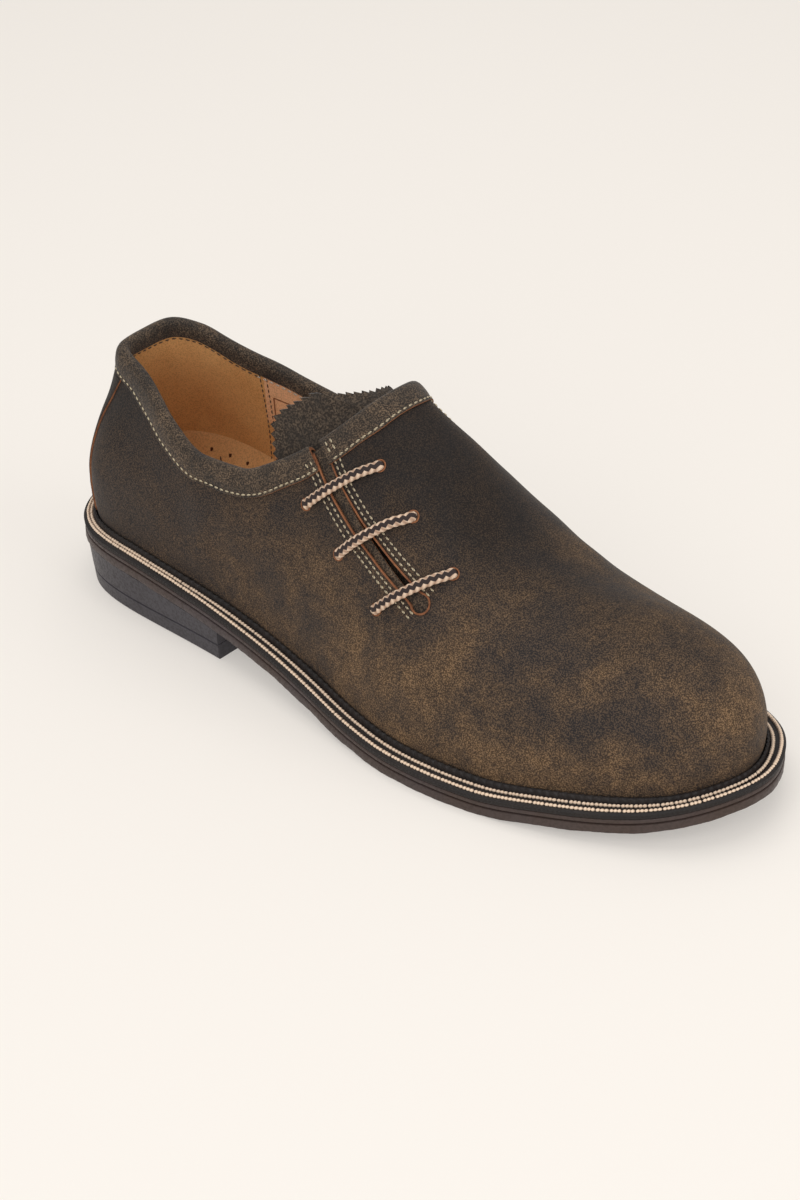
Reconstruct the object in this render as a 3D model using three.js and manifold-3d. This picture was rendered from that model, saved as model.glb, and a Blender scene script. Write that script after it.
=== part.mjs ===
// Low side-lacing shoe with a storm welt, a right shoe standing empty on its heel and forefoot.
// X runs from the heel to the toe, Y to the medial side, Z up. Millimetres throughout.
import * as THREE from 'three'
import Module from 'manifold-3d'

const wasm = await Module()
wasm.setup()

// Driving sizes of the shoe
const SOLE_LENGTH = 303
const BALL_WIDTH = 106
const INSTEP_HEIGHT = 100
const COLLAR_HEIGHT = 96
const HEEL_HEIGHT = 17.8
const TOE_SPRING = 12.2

// Thicknesses and clearances
const UPPER_WALL = 2.6
const VAMP_LAP = 1
const BACK_STRIP_RAISE = 0.7
const BACK_STRIP_WIDTH = 13
const WELT_WIDTH = 7.5
const WELT_THICKNESS = 2.2
const BEAD_HEIGHT = 3
const BEAD_WIDTH = 2.3
const MIDSOLE_THICKNESS = 1.6
const OUTSOLE_THICKNESS = 3.4
const INSOLE_THICKNESS = 3.5
const TONGUE_THICKNESS = 1.8
const BINDING_THICKNESS = 0.9
const BINDING_DROP = 9.5
const BINDING_INNER_SHARE = 0.8
const BINDING_TOP_ROOM = 1.5
const LIFT_THICKNESS = 6
const CLEARANCE = 0.3
const CURVED_CLEARANCE = 0.6

// Slot and lace
const SLOT_WIDTH = 5
const LACE_DIAMETER = 3
const HOLE_DIAMETER = 5.2
const LACE_SIDES = 8

// How far the edge of each layer stands back from the welt's edge
const MIDSOLE_INSET = 0.5
const OUTSOLE_INSET = 0.3
const HEEL_INSET = 0.7
const LIFT_INSET = 1
const HEEL_TAPER = 1.5
const BREAST_AT = 0.307

// Each rib rises from the welt to the crown. Places are shares of the sole's length, widths shares of
// the ball width, heights shares of the instep height, and the welt's a share of its nominal width.
const RIB_COLUMNS = [
  'at', 'lateral', 'medial', 'crownAt', 'crownLateral', 'crownMedial', 'crownHeight', 'drop',
  'bulgeLateral', 'riseLateral', 'shoulderLateral', 'bulgeMedial', 'riseMedial', 'shoulderMedial',
  'weltLateral', 'weltMedial',
]
const RIB_ROWS = [
  [-0.007, 0, 0, 0.086, 0, 0, 1.075, 0.45, 0.042, 0.45, 0, 0.04, 0.45, 0, 0.8, 0.8],
  [0.015, 0.198, 0.187, 0.086, 0.138, 0.113, 1.08, 0.45, 0.06, 0.465, 0, 0.037, 0.45, 0, 0.76, 0.8],
  [0.062, 0.321, 0.319, 0.112, 0.162, 0.145, 1.06, 0.45, 0.057, 0.47, 0, 0.037, 0.45, 0, 0.78, 0.8],
  [0.131, 0.362, 0.351, 0.169, 0.187, 0.175, 1.04, 0.45, 0.04, 0.465, 0.05, 0.039, 0.45, 0.04, 0.82, 0.8],
  [0.22, 0.37, 0.324, 0.216, 0.252, 0.268, 1.04, 0.395, 0.038, 0.465, 0.1, 0.043, 0.455, 0.1, 0.82, 0.79],
  [0.32, 0.384, 0.295, 0.292, 0.24, 0.305, 1.05, 0.28, 0.045, 0.455, 0.2, 0.069, 0.465, 0.2, 0.93, 0.65],
  [0.418, 0.419, 0.303, 0.455, 0.075, 0.185, 1.055, 0.135, 0.046, 0.43, 0.285, 0.086, 0.475, 0.325, 0.98, 0.59],
  [0.517, 0.483, 0.364, 0.545, 0.02, 0.07, 0.98, 0, 0.047, 0.385, 0.4, 0.079, 0.575, 0.58, 1.02, 0.64],
  [0.616, 0.54, 0.439, 0.605, 0, 0, 0.835, 0, 0.038, 0.36, 0.5, 0.063, 0.595, 0.67, 1.03, 0.82],
  [0.715, 0.53, 0.477, 0.655, 0, 0, 0.7, 0, 0.035, 0.44, 0.57, 0.043, 0.6, 0.69, 1.03, 0.98],
  [0.814, 0.472, 0.46, 0.705, 0, 0, 0.62, 0, 0.033, 0.53, 0.6, 0.036, 0.59, 0.675, 1.03, 1.05],
  [0.894, 0.384, 0.398, 0.765, 0, 0, 0.605, 0, 0.034, 0.55, 0.605, 0.042, 0.595, 0.63, 1.03, 1.03],
  [0.958, 0.27, 0.282, 0.802, 0, 0, 0.603, 0, 0.045, 0.615, 0.61, 0.055, 0.64, 0.64, 0.97, 0.94],
  [0.993, 0.114, 0.113, 0.812, 0, 0, 0.603, 0, 0.046, 0.61, 0.6, 0.048, 0.61, 0.625, 1, 1],
  [1.003, 0, 0, 0.815, 0, 0, 0.602, 0, 0.042, 0.6, 0.6, 0.042, 0.6, 0.6, 1.05, 1.05],
]

// Underside of the outsole: share of the length, share of the heel height, share of the toe spring
const UNDERSIDE_COLUMNS = ['at', 'heel', 'toe']
const UNDERSIDE_ROWS = [
  [0, 1, 0],
  [0.13, 0.985, 0],
  [0.25, 0.8, 0],
  [0.36, 0.56, 0],
  [0.46, 0.31, 0],
  [0.55, 0.07, 0],
  [0.62, 0, 0],
  [0.73, 0, 0],
  [0.82, 0, 0.24],
  [0.91, 0, 0.49],
  [1, 0, 1],
]

// Finished topline on each side: share of the length, share of the collar height
const COLLAR_COLUMNS = ['at', 'lateral', 'medial']
const COLLAR_ROWS = [
  [0, 1, 1],
  [0.06, 1.015, 1.018],
  [0.12, 0.985, 1.005],
  [0.2, 0.875, 0.89],
  [0.27, 0.79, 0.825],
  [0.33, 0.795, 0.81],
  [0.38, 0.865, 0.84],
  [0.432, 0.982, 0.972],
  [0.465, 1.085, 1.075],
  [0.5, 1.22, 1.21],
]
const COLLAR_BLEND = 12
const QUARTER_INNER_SHARE = 0.12

// Slot through the lateral side, from the topline to its round end: rib and height along the rib
const SLOT_COLUMNS = ['rib', 'girth']
const SLOT_ROWS = [
  [5.5, 0.88],
  [5.83, 0.773],
  [6.18, 0.64],
  [6.67, 0.553],
  [7.22, 0.521],
  [8, 0.512],
]

// Lace holes in pairs, the lower one behind the slot and the upper one before it
const HOLE_COLUMNS = ['lowerRib', 'lowerGirth', 'upperRib', 'upperGirth']
const HOLE_ROWS = [
  [5.99, 0.527, 6.7, 0.76],
  [6.62, 0.437, 7.45, 0.7],
  [7.39, 0.388, 8.32, 0.677],
]

// Edge of the medial quarter under the vamp: share of the length, share of the instep height
const QUARTER_COLUMNS = ['at', 'height']
const QUARTER_ROWS = [
  [0.47, 1.02],
  [0.5, 0.93],
  [0.508, 0.85],
  [0.5, 0.76],
  [0.478, 0.68],
  [0.43, 0.57],
  [0.36, 0.43],
  [0.3, 0.335],
  [0.25, 0.28],
  [0.22, 0.2],
]

// Tongue outline across the instep: girth, rib of its pinked back edge, rib of its front edge
const TONGUE_COLUMNS = ['girth', 'back', 'front']
const TONGUE_ROWS = [
  [0.2, 6.5, 7.5],
  [0.3, 6.15, 7.9],
  [0.45, 5.75, 8.3],
  [0.62, 5.4, 8.7],
  [0.8, 5.3, 8.9],
  [1, 5.62, 9],
  [1.5, 6, 9],
  [2, 6.05, 9],
  [2.15, 6.1, 8.9],
  [2.3, 6.2, 8.6],
  [2.42, 6.5, 8.2],
]
const TONGUE_SINK = 4.1
const TONGUE_RISE_SHARE = 0.09
const TONGUE_UNDER_BINDING = BINDING_THICKNESS + CURVED_CLEARANCE
const TOOTH_DEPTH = 1.6
const TONGUE_STEPS = 36

const toRecords = (columns, rows) =>
  rows.map((row) => Object.fromEntries(columns.map((name, index) => [name, row[index]])))

const ribs = toRecords(RIB_COLUMNS, RIB_ROWS)
const undersideRows = toRecords(UNDERSIDE_COLUMNS, UNDERSIDE_ROWS)
const collarRows = toRecords(COLLAR_COLUMNS, COLLAR_ROWS)
const slotRows = toRecords(SLOT_COLUMNS, SLOT_ROWS)
const holeRows = toRecords(HOLE_COLUMNS, HOLE_ROWS)
const quarterRows = toRecords(QUARTER_COLUMNS, QUARTER_ROWS)
const tongueRows = toRecords(TONGUE_COLUMNS, TONGUE_ROWS)

// Smooth curve through rows of place and value, with no overshoot between them
function curveThrough(places, values) {
  const spans = places.slice(1).map((place, i) => place - places[i])
  const slopes = spans.map((span, i) => (values[i + 1] - values[i]) / span)
  const tangents = places.map((place, i) => {
    if (i === 0) return slopes[0]
    if (i === places.length - 1) return slopes[i - 1]
    const before = slopes[i - 1]
    const after = slopes[i]
    if (before * after <= 0) return 0
    const beforeWeight = 2 * spans[i] + spans[i - 1]
    const afterWeight = spans[i] + 2 * spans[i - 1]
    return (beforeWeight + afterWeight) / (beforeWeight / before + afterWeight / after)
  })
  return (place) => {
    const x = THREE.MathUtils.clamp(place, places[0], places.at(-1))
    let k = places.findIndex((edge, i) => i > 0 && x <= edge) - 1
    k = Math.max(k, 0)
    const t = (x - places[k]) / spans[k]
    const rise = t * t * (3 - 2 * t)
    const startBend = t * (1 - t) * (1 - t)
    const endBend = t * t * (t - 1)
    return values[k] * (1 - rise) + values[k + 1] * rise
      + spans[k] * (tangents[k] * startBend + tangents[k + 1] * endBend)
  }
}

const column = (records, name) => records.map((record) => record[name])
const heelShare = curveThrough(column(undersideRows, 'at'), column(undersideRows, 'heel'))
const toeShare = curveThrough(column(undersideRows, 'at'), column(undersideRows, 'toe'))
const lateralTopline = curveThrough(column(collarRows, 'at'), column(collarRows, 'lateral'))
const medialTopline = curveThrough(column(collarRows, 'at'), column(collarRows, 'medial'))

const underside = (x) => HEEL_HEIGHT * heelShare(x / SOLE_LENGTH) + TOE_SPRING * toeShare(x / SOLE_LENGTH)
const outsoleTop = (x) => underside(x) + OUTSOLE_THICKNESS
const midsoleBottom = (x) => outsoleTop(x) + CLEARANCE
const midsoleTop = (x) => midsoleBottom(x) + MIDSOLE_THICKNESS
const margin = (x) => midsoleTop(x) + CLEARANCE
const seat = (x) => margin(x) + WELT_THICKNESS

function topline(x, y) {
  const share = x / SOLE_LENGTH
  const side = THREE.MathUtils.smoothstep(y, -COLLAR_BLEND, COLLAR_BLEND)
  return COLLAR_HEIGHT * THREE.MathUtils.lerp(lateralTopline(share), medialTopline(share), side)
}
const upperTop = (x, y) => topline(x, y) - BINDING_TOP_ROOM - BINDING_THICKNESS

// The ribs stand in a ring: 0 at the heel, up the lateral side to the toe, back along the medial side
const TOE_RIB = ribs.length - 1
const RING = 2 * TOE_RIB
const GIRTH = 3

function ringWeights(u) {
  const start = Math.floor(u)
  const t = u - start
  const weights = [
    (1 - t) ** 3 / 6,
    (3 * t ** 3 - 6 * t ** 2 + 4) / 6,
    (-3 * t ** 3 + 3 * t ** 2 + 3 * t + 1) / 6,
    t ** 3 / 6,
  ]
  const slopes = [-((1 - t) ** 2) / 2, (3 * t ** 2 - 4 * t) / 2, (-3 * t ** 2 + 2 * t + 1) / 2, t ** 2 / 2]
  return [-1, 0, 1, 2].map((step, i) => ({
    index: (start + step + 2 * RING) % RING,
    weight: weights[i],
    slope: slopes[i],
  }))
}

const ring = Array.from({ length: RING }, (_, i) => {
  const lateral = i <= TOE_RIB
  const row = lateral ? i : RING - i
  const rib = ribs[row]
  const pick = (name) => rib[name + (lateral ? 'Lateral' : 'Medial')]
  const sign = lateral ? -1 : 1
  return {
    row,
    edge: new THREE.Vector2(rib.at * SOLE_LENGTH, sign * rib[lateral ? 'lateral' : 'medial'] * BALL_WIDTH),
    welt: pick('welt') * WELT_WIDTH,
    crown: new THREE.Vector3(
      rib.crownAt * SOLE_LENGTH, sign * pick('crown') * BALL_WIDTH, rib.crownHeight * INSTEP_HEIGHT),
    drop: rib.drop,
    bulge: pick('bulge') * BALL_WIDTH,
    rise: pick('rise'),
    shoulder: pick('shoulder'),
  }
})

function edgeAt(u) {
  const point = new THREE.Vector2()
  const along = new THREE.Vector2()
  for (const { index, weight, slope } of ringWeights(u)) {
    point.addScaledVector(ring[index].edge, weight)
    along.addScaledVector(ring[index].edge, slope)
  }
  return { point, outward: new THREE.Vector2(along.y, -along.x).normalize() }
}

// Slope of the crown line at each rib, so that both sides meet it without a ridge
const LEVEL_DROP = 0.2
const SHORTEST_CROWN_STEP = 0.01 * SOLE_LENGTH
function crownSlope(row) {
  if (ribs[row].drop > LEVEL_DROP) return 0
  for (let k = Math.min(row, TOE_RIB - 1); k > 0; k--) {
    const run = (ribs[k + 1].crownAt - ribs[k - 1].crownAt) * SOLE_LENGTH
    const rise = (ribs[k + 1].crownHeight - ribs[k - 1].crownHeight) * INSTEP_HEIGHT
    if (run > 2 * SHORTEST_CROWN_STEP) return rise / run
  }
  return 0
}

ring.forEach((entry, i) => {
  const { outward } = edgeAt(i)
  const foot = entry.edge.clone().addScaledVector(outward, -entry.welt)
  const footHeight = seat(foot.x)
  const height = entry.crown.z - footHeight
  const across = new THREE.Vector2(foot.x - entry.crown.x, foot.y - entry.crown.y)
    .multiplyScalar(entry.shoulder)
  entry.foot = new THREE.Vector3(foot.x, foot.y, footHeight)
  entry.belly = new THREE.Vector3(
    foot.x + outward.x * entry.bulge, foot.y + outward.y * entry.bulge, footHeight + entry.rise * height)
  entry.shoulderPoint = new THREE.Vector3(
    entry.crown.x + across.x, entry.crown.y + across.y,
    entry.crown.z + crownSlope(entry.row) * across.x - entry.drop * height)
})

function blend(u, name) {
  const result = new THREE.Vector3()
  for (const { index, weight } of ringWeights(u)) result.addScaledVector(ring[index][name], weight)
  return result
}

function bezier(a, b, c, d, t) {
  const k = 1 - t
  return a.clone().multiplyScalar(k ** 3)
    .addScaledVector(b, 3 * t * k ** 2)
    .addScaledVector(c, 3 * t ** 2 * k)
    .addScaledVector(d, t ** 3)
}

const ribPoint = (u, s) => bezier(blend(u, 'foot'), blend(u, 'belly'), blend(u, 'shoulderPoint'), blend(u, 'crown'), s)

// The crown lines of the two sides are bridged, level with both
function bridgePoint(u, t) {
  const start = blend(u, 'crown')
  const end = blend(RING - u, 'crown')
  const reach = start.distanceTo(end) / 3
  const startPull = start.clone().sub(blend(u, 'shoulderPoint')).normalize()
  const endPull = end.clone().sub(blend(RING - u, 'shoulderPoint')).normalize()
  return bezier(
    start, start.clone().addScaledVector(startPull, reach),
    end.clone().addScaledVector(endPull, reach), end, t)
}

// Girth runs over the shoe: 0 at the lateral welt, 1 to 2 over the crown, 3 at the medial welt
function surfacePoint(u, girth) {
  if (girth <= 1) return ribPoint(u, girth)
  if (girth >= 2) return ribPoint(RING - u, GIRTH - girth)
  return bridgePoint(u, girth - 1)
}

const NARROW_BRIDGE = 2
const BESIDE_CROWN = 0.04
const SMALL_STEP = 0.01
function surfaceNormal(u, girth) {
  const gap = blend(u, 'crown').distanceTo(blend(RING - u, 'crown'))
  if (gap < NARROW_BRIDGE && girth > 1 - BESIDE_CROWN && girth < 2 + BESIDE_CROWN) {
    return surfaceNormal(u, 1 - BESIDE_CROWN).add(surfaceNormal(u, 2 + BESIDE_CROWN)).normalize()
  }
  const along = surfacePoint(u + SMALL_STEP, girth).sub(surfacePoint(u - SMALL_STEP, girth))
  const low = Math.max(girth - SMALL_STEP, 0)
  const high = Math.min(girth + SMALL_STEP, GIRTH)
  const up = surfacePoint(u, high).sub(surfacePoint(u, low))
  return along.cross(up).normalize()
}

const offsetPoint = (u, girth, offset) =>
  surfacePoint(u, girth).addScaledVector(surfaceNormal(u, girth), offset)

// Closed meshes from rows of points
const WELD = 1e-4
function weld(triangles) {
  const keys = new Map()
  const vertices = []
  const faces = []
  const indexOf = (p) => {
    const key = [p.x, p.y, p.z].map((value) => Math.round(value / WELD)).join(' ')
    if (!keys.has(key)) {
      keys.set(key, vertices.length)
      vertices.push(p)
    }
    return keys.get(key)
  }
  for (const triangle of triangles) {
    const [a, b, c] = triangle.map(indexOf)
    if (a !== b && b !== c && c !== a) faces.push([a, b, c])
  }
  return { vertices, faces }
}

function toManifold(triangles) {
  const { vertices, faces } = weld(triangles)
  const volume = faces.reduce((sum, [a, b, c]) =>
    sum + vertices[a].dot(vertices[b].clone().cross(vertices[c])), 0)
  const facing = volume > 0 ? faces : faces.map(([a, b, c]) => [a, c, b])
  return new wasm.Manifold(new wasm.Mesh({
    numProp: 3,
    vertProperties: new Float32Array(vertices.flatMap((p) => [p.x, p.y, p.z])),
    triVerts: new Uint32Array(facing.flat()),
  }))
}

const quad = (a, b, c, d) => [[a, b, c], [a, c, d]]

// Sections of equal length joined into one solid. Each section runs round its outline; its first half
// faces its second half, so an end is closed by a ladder between the two.
function solidFromSections(sections, closed = false) {
  const triangles = []
  const count = sections[0].length
  const last = closed ? sections.length : sections.length - 1
  for (let i = 0; i < last; i++) {
    const here = sections[i]
    const next = sections[(i + 1) % sections.length]
    for (let j = 0; j < count; j++) {
      const k = (j + 1) % count
      triangles.push(...quad(here[j], next[j], next[k], here[k]))
    }
  }
  if (!closed) {
    for (let j = 0; j < count / 2 - 1; j++) {
      const start = sections[0]
      const end = sections.at(-1)
      const mate = count - 1 - j
      triangles.push(...quad(start[j], start[j + 1], start[mate - 1], start[mate]))
      triangles.push(...quad(end[j], end[mate], end[mate - 1], end[j + 1]))
    }
  }
  return toManifold(triangles)
}

const steps = (from, to, count) => Array.from({ length: count + 1 }, (_, i) => from + (to - from) * i / count)

const STATIONS = [...steps(0, 1.75, 5), ...steps(2.1, 4.5, 5), ...steps(4.8, 8, 10), ...steps(8.5, TOE_RIB, 11)]
const SIDE_GIRTHS = [0, 0.08, 0.2, 0.33, 0.46, 0.6, 0.74, 0.88]
const GIRTHS = [
  ...SIDE_GIRTHS,
  ...steps(1, 2, 6),
  ...SIDE_GIRTHS.map((s) => GIRTH - s).reverse(),
]

// Form of the last, standing off the upper's outer face, down to a given depth below the margin
function lastForm(offset, depth) {
  const sections = STATIONS.map((u) => {
    const rows = GIRTHS.map((girth) => offsetPoint(u, girth, offset))
    const under = (p) => new THREE.Vector3(p.x, p.y, margin(p.x) - depth)
    return [under(rows[0]), ...rows, under(rows.at(-1))]
  })
  return solidFromSections(sections)
}

// Everything above the line that lies a given depth below the upper's top
const CUTTER_TOP = 3 * INSTEP_HEIGHT
const CUTTER_REACH = BALL_WIDTH
function aboveCollar(depth) {
  const sideSteps = [-CUTTER_REACH, ...steps(-COLLAR_BLEND, COLLAR_BLEND, 6), CUTTER_REACH]
  const sections = steps(-0.1, 0.5, 48).map((share) => {
    const x = share * SOLE_LENGTH
    const low = sideSteps.map((y) => new THREE.Vector3(x, y, upperTop(x, y) - depth))
    const high = sideSteps.map((y) => new THREE.Vector3(x, y, CUTTER_TOP)).reverse()
    return [...low, ...high]
  })
  return solidFromSections(sections)
}

// Outline of the medial quarter seen from the side, pushed through the medial wall
function medialQuarter() {
  const front = quarterRows.map((row) => [row.at * SOLE_LENGTH, row.height * INSTEP_HEIGHT])
  const along = new THREE.SplineCurve(front.map(([x, z]) => new THREE.Vector2(x, z)))
  const inner = QUARTER_INNER_SHARE * BALL_WIDTH
  const heights = (p) => Math.max(p.y, seat(p.x) + BEAD_HEIGHT + CLEARANCE)
  const sections = along.getSpacedPoints(24).map((p) => {
    const z = heights(p)
    return [
      new THREE.Vector3(-CUTTER_REACH, inner, z), new THREE.Vector3(p.x, inner, z),
      new THREE.Vector3(p.x, CUTTER_REACH, z), new THREE.Vector3(-CUTTER_REACH, CUTTER_REACH, z),
    ]
  })
  return sections
}

function quarterCutter() {
  const sections = medialQuarter()
  const top = sections[0].map((p) => p.clone().setZ(CUTTER_TOP))
  return solidFromSections([top, ...sections])
}

function box(low, high) {
  const at = (x, y, z) => new THREE.Vector3(x, y, z)
  return solidFromSections([low[0], high[0]].map((x) => [
    at(x, low[1], low[2]), at(x, high[1], low[2]), at(x, high[1], high[2]), at(x, low[1], high[2]),
  ]))
}

// A bar of the given width that follows the surface and passes through the wall
function surfaceBar(path, width, outside, inside) {
  const sections = path.map((here, i) => {
    const before = path[Math.max(i - 1, 0)]
    const after = path[Math.min(i + 1, path.length - 1)]
    const point = surfacePoint(here.rib, here.girth)
    const normal = surfaceNormal(here.rib, here.girth)
    const along = surfacePoint(after.rib, after.girth).sub(surfacePoint(before.rib, before.girth))
    const across = along.cross(normal).setLength(width / 2)
    const corner = (side, depth) => point.clone().addScaledVector(across, side).addScaledVector(normal, depth)
    return [corner(-1, -inside), corner(-1, outside), corner(1, outside), corner(1, -inside)]
  })
  return solidFromSections(sections)
}

// A round pin through the wall
function surfacePin(rib, girth, diameter, outside, inside, sides = 16) {
  const point = surfacePoint(rib, girth)
  const normal = surfaceNormal(rib, girth)
  const geometry = new THREE.CylinderGeometry(diameter / 2, diameter / 2, outside + inside, sides)
  geometry.translate(0, (outside - inside) / 2, 0)
  geometry.applyQuaternion(new THREE.Quaternion().setFromUnitVectors(new THREE.Vector3(0, 1, 0), normal))
  geometry.translate(point.x, point.y, point.z)
  return toManifold(geometryTriangles(geometry))
}

function geometryTriangles(geometry) {
  const flat = geometry.index ? geometry.toNonIndexed() : geometry
  const position = flat.getAttribute('position')
  const corner = (i) => new THREE.Vector3().fromBufferAttribute(position, i)
  return Array.from({ length: position.count / 3 }, (_, i) => [corner(3 * i), corner(3 * i + 1), corner(3 * i + 2)])
}

// Layers of the sole, laid between the two edges of the outline
function layer(insetAt, topAt, bottomAt, upTo = TOE_RIB) {
  const stations = STATIONS.filter((u) => u <= upTo)
  const sections = stations.map((u) => {
    const corners = [u, RING - u].map((place) => {
      const { point, outward } = edgeAt(place)
      return point.clone().addScaledVector(outward, -insetAt(point.x, place))
    })
    const [lateral, medial] = corners
    const at = (p, height) => new THREE.Vector3(p.x, p.y, height(p.x))
    return [at(lateral, bottomAt), at(medial, bottomAt), at(medial, topAt), at(lateral, topAt)]
  })
  return solidFromSections(sections)
}

// Upper
const THROUGH_OUT = 8
const THROUGH_IN = 6
const slotCurve = new THREE.SplineCurve(slotRows.map(({ rib, girth }) => new THREE.Vector2(rib, girth)))
const slotPath = slotCurve.getSpacedPoints(18).map((p) => ({ rib: p.x, girth: p.y }))
const slotEnd = slotRows.at(-1)

function buildUpper() {
  const belowBinding = aboveCollar(BINDING_DROP + CLEARANCE)
  const quarter = quarterCutter().subtract(belowBinding)
  const strip = lastForm(BACK_STRIP_RAISE, 0)
    .intersect(box(
      [-BALL_WIDTH, -BACK_STRIP_WIDTH / 2, seat(0) + BEAD_HEIGHT + CLEARANCE],
      [0.15 * SOLE_LENGTH, BACK_STRIP_WIDTH / 2, CUTTER_TOP]))
    .subtract(belowBinding)
  let shell = lastForm(0, 0).subtract(quarter).add(lastForm(-VAMP_LAP, 0)).add(strip)
  shell = shell.subtract(lastForm(-UPPER_WALL, WELT_WIDTH))
  shell = shell.subtract(aboveCollar(0))
  shell = shell.subtract(surfaceBar(slotPath, SLOT_WIDTH, THROUGH_OUT, THROUGH_IN))
  shell = shell.subtract(surfacePin(slotEnd.rib, slotEnd.girth, SLOT_WIDTH, THROUGH_OUT, THROUGH_IN))
  for (const { lowerRib, lowerGirth, upperRib, upperGirth } of holeRows) {
    shell = shell.subtract(surfacePin(lowerRib, lowerGirth, HOLE_DIAMETER, THROUGH_OUT, THROUGH_IN))
    shell = shell.subtract(surfacePin(upperRib, upperGirth, HOLE_DIAMETER, THROUGH_OUT, THROUGH_IN))
  }
  return shell
}

// The rim runs along the upper's top, from behind the slot round the heel and over the instep
const RIM_STEP = 1.5
function partials(u, girth) {
  const alongRib = surfacePoint(u, Math.min(girth + SMALL_STEP, GIRTH))
    .sub(surfacePoint(u, Math.max(girth - SMALL_STEP, 0))).divideScalar(2 * SMALL_STEP)
  const acrossRib = surfacePoint(u + SMALL_STEP, girth).sub(surfacePoint(u - SMALL_STEP, girth))
    .divideScalar(2 * SMALL_STEP)
  return { acrossRib, alongRib }
}

// Step over the surface by a short vector, and turn over to the other side at the heel
function slide(place, step) {
  const { acrossRib, alongRib } = partials(place.rib, place.girth)
  const aa = acrossRib.dot(acrossRib)
  const ab = acrossRib.dot(alongRib)
  const bb = alongRib.dot(alongRib)
  const da = acrossRib.dot(step)
  const db = alongRib.dot(step)
  const det = aa * bb - ab * ab
  const moved = {
    rib: place.rib + (da * bb - db * ab) / det,
    girth: place.girth + (db * aa - da * ab) / det,
  }
  return moved.rib < 0 ? { rib: -moved.rib, girth: GIRTH - moved.girth } : moved
}

function overTop(place) {
  const p = surfacePoint(place.rib, place.girth)
  return p.z - upperTop(p.x, p.y)
}

function slopeOfOverTop(place) {
  const { acrossRib, alongRib } = partials(place.rib, place.girth)
  const here = overTop(place)
  const dRib = (overTop({ rib: place.rib + SMALL_STEP, girth: place.girth }) - here) / SMALL_STEP
  const dGirth = (overTop({ rib: place.rib, girth: place.girth + SMALL_STEP }) - here) / SMALL_STEP
  const aa = acrossRib.dot(acrossRib)
  const ab = acrossRib.dot(alongRib)
  const bb = alongRib.dot(alongRib)
  const det = aa * bb - ab * ab
  return acrossRib.clone().multiplyScalar((dRib * bb - dGirth * ab) / det)
    .addScaledVector(alongRib, (dGirth * aa - dRib * ab) / det)
}

function ontoRim(place) {
  let settled = place
  for (let i = 0; i < 6; i++) {
    const slope = slopeOfOverTop(settled)
    settled = slide(settled, slope.multiplyScalar(-overTop(settled) / slope.lengthSq()))
  }
  return settled
}

function traceRim() {
  const start = ontoRim({ rib: slotRows[1].rib, girth: slotRows[1].girth })
  const places = [start]
  let heading = new THREE.Vector3(-1, 0, 0)
  for (let i = 0; i < 400; i++) {
    const here = places.at(-1)
    const away = slopeOfOverTop(here).normalize()
    const tangent = away.clone().cross(surfaceNormal(here.rib, here.girth)).normalize()
    if (tangent.dot(heading) < 0) tangent.negate()
    heading = tangent
    const next = ontoRim(slide(here, tangent.clone().multiplyScalar(RIM_STEP)))
    const point = surfacePoint(next.rib, next.girth)
    places.push(next)
    if (i > 20 && point.distanceTo(surfacePoint(start.rib, start.girth)) < RIM_STEP) break
  }
  return places
}

const rim = traceRim().map((place) => ({
  ...place,
  point: surfacePoint(place.rib, place.girth),
  down: slopeOfOverTop(place).normalize().negate(),
}))

function downFrom(start, distance) {
  const count = Math.max(1, Math.ceil(Math.abs(distance) / 2.5))
  let place = { rib: start.rib, girth: start.girth }
  for (let i = 0; i < count; i++) {
    const normal = surfaceNormal(place.rib, place.girth)
    const level = start.down.clone().addScaledVector(normal, -start.down.dot(normal)).normalize()
    place = slide(place, level.multiplyScalar(distance / count))
  }
  return place
}

// Collar binding: a strip folded over the rim, outside and inside
function buildBinding() {
  const near = SLOT_WIDTH / 2 + CURVED_CLEARANCE
  const slotTop = rim[0].point
  const every = 3
  const kept = rim.filter((entry, i) =>
    i % every === 0 && entry.point.distanceTo(slotTop) > near)
  const insideFace = -(UPPER_WALL + CURVED_CLEARANCE)
  const outer = CURVED_CLEARANCE + BINDING_THICKNESS
  const topRoom = BINDING_TOP_ROOM
  const top = topRoom + BINDING_THICKNESS
  const innerDrop = BINDING_DROP * BINDING_INNER_SHARE
  const profile = [
    [BINDING_DROP, outer], [-topRoom / 2, outer], [-top, CURVED_CLEARANCE],
    [-top, insideFace], [-topRoom, insideFace - BINDING_THICKNESS], [innerDrop, insideFace - BINDING_THICKNESS],
    [innerDrop, insideFace], [0, insideFace], [-topRoom, insideFace],
    [-topRoom, 0], [-topRoom / 2, CURVED_CLEARANCE], [BINDING_DROP, CURVED_CLEARANCE],
  ]
  const sections = kept.map((entry) => profile.map(([distance, offset]) => {
    const place = downFrom(entry, distance)
    return offsetPoint(place.rib, place.girth, offset)
  }))
  return solidFromSections(sections)
}

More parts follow.
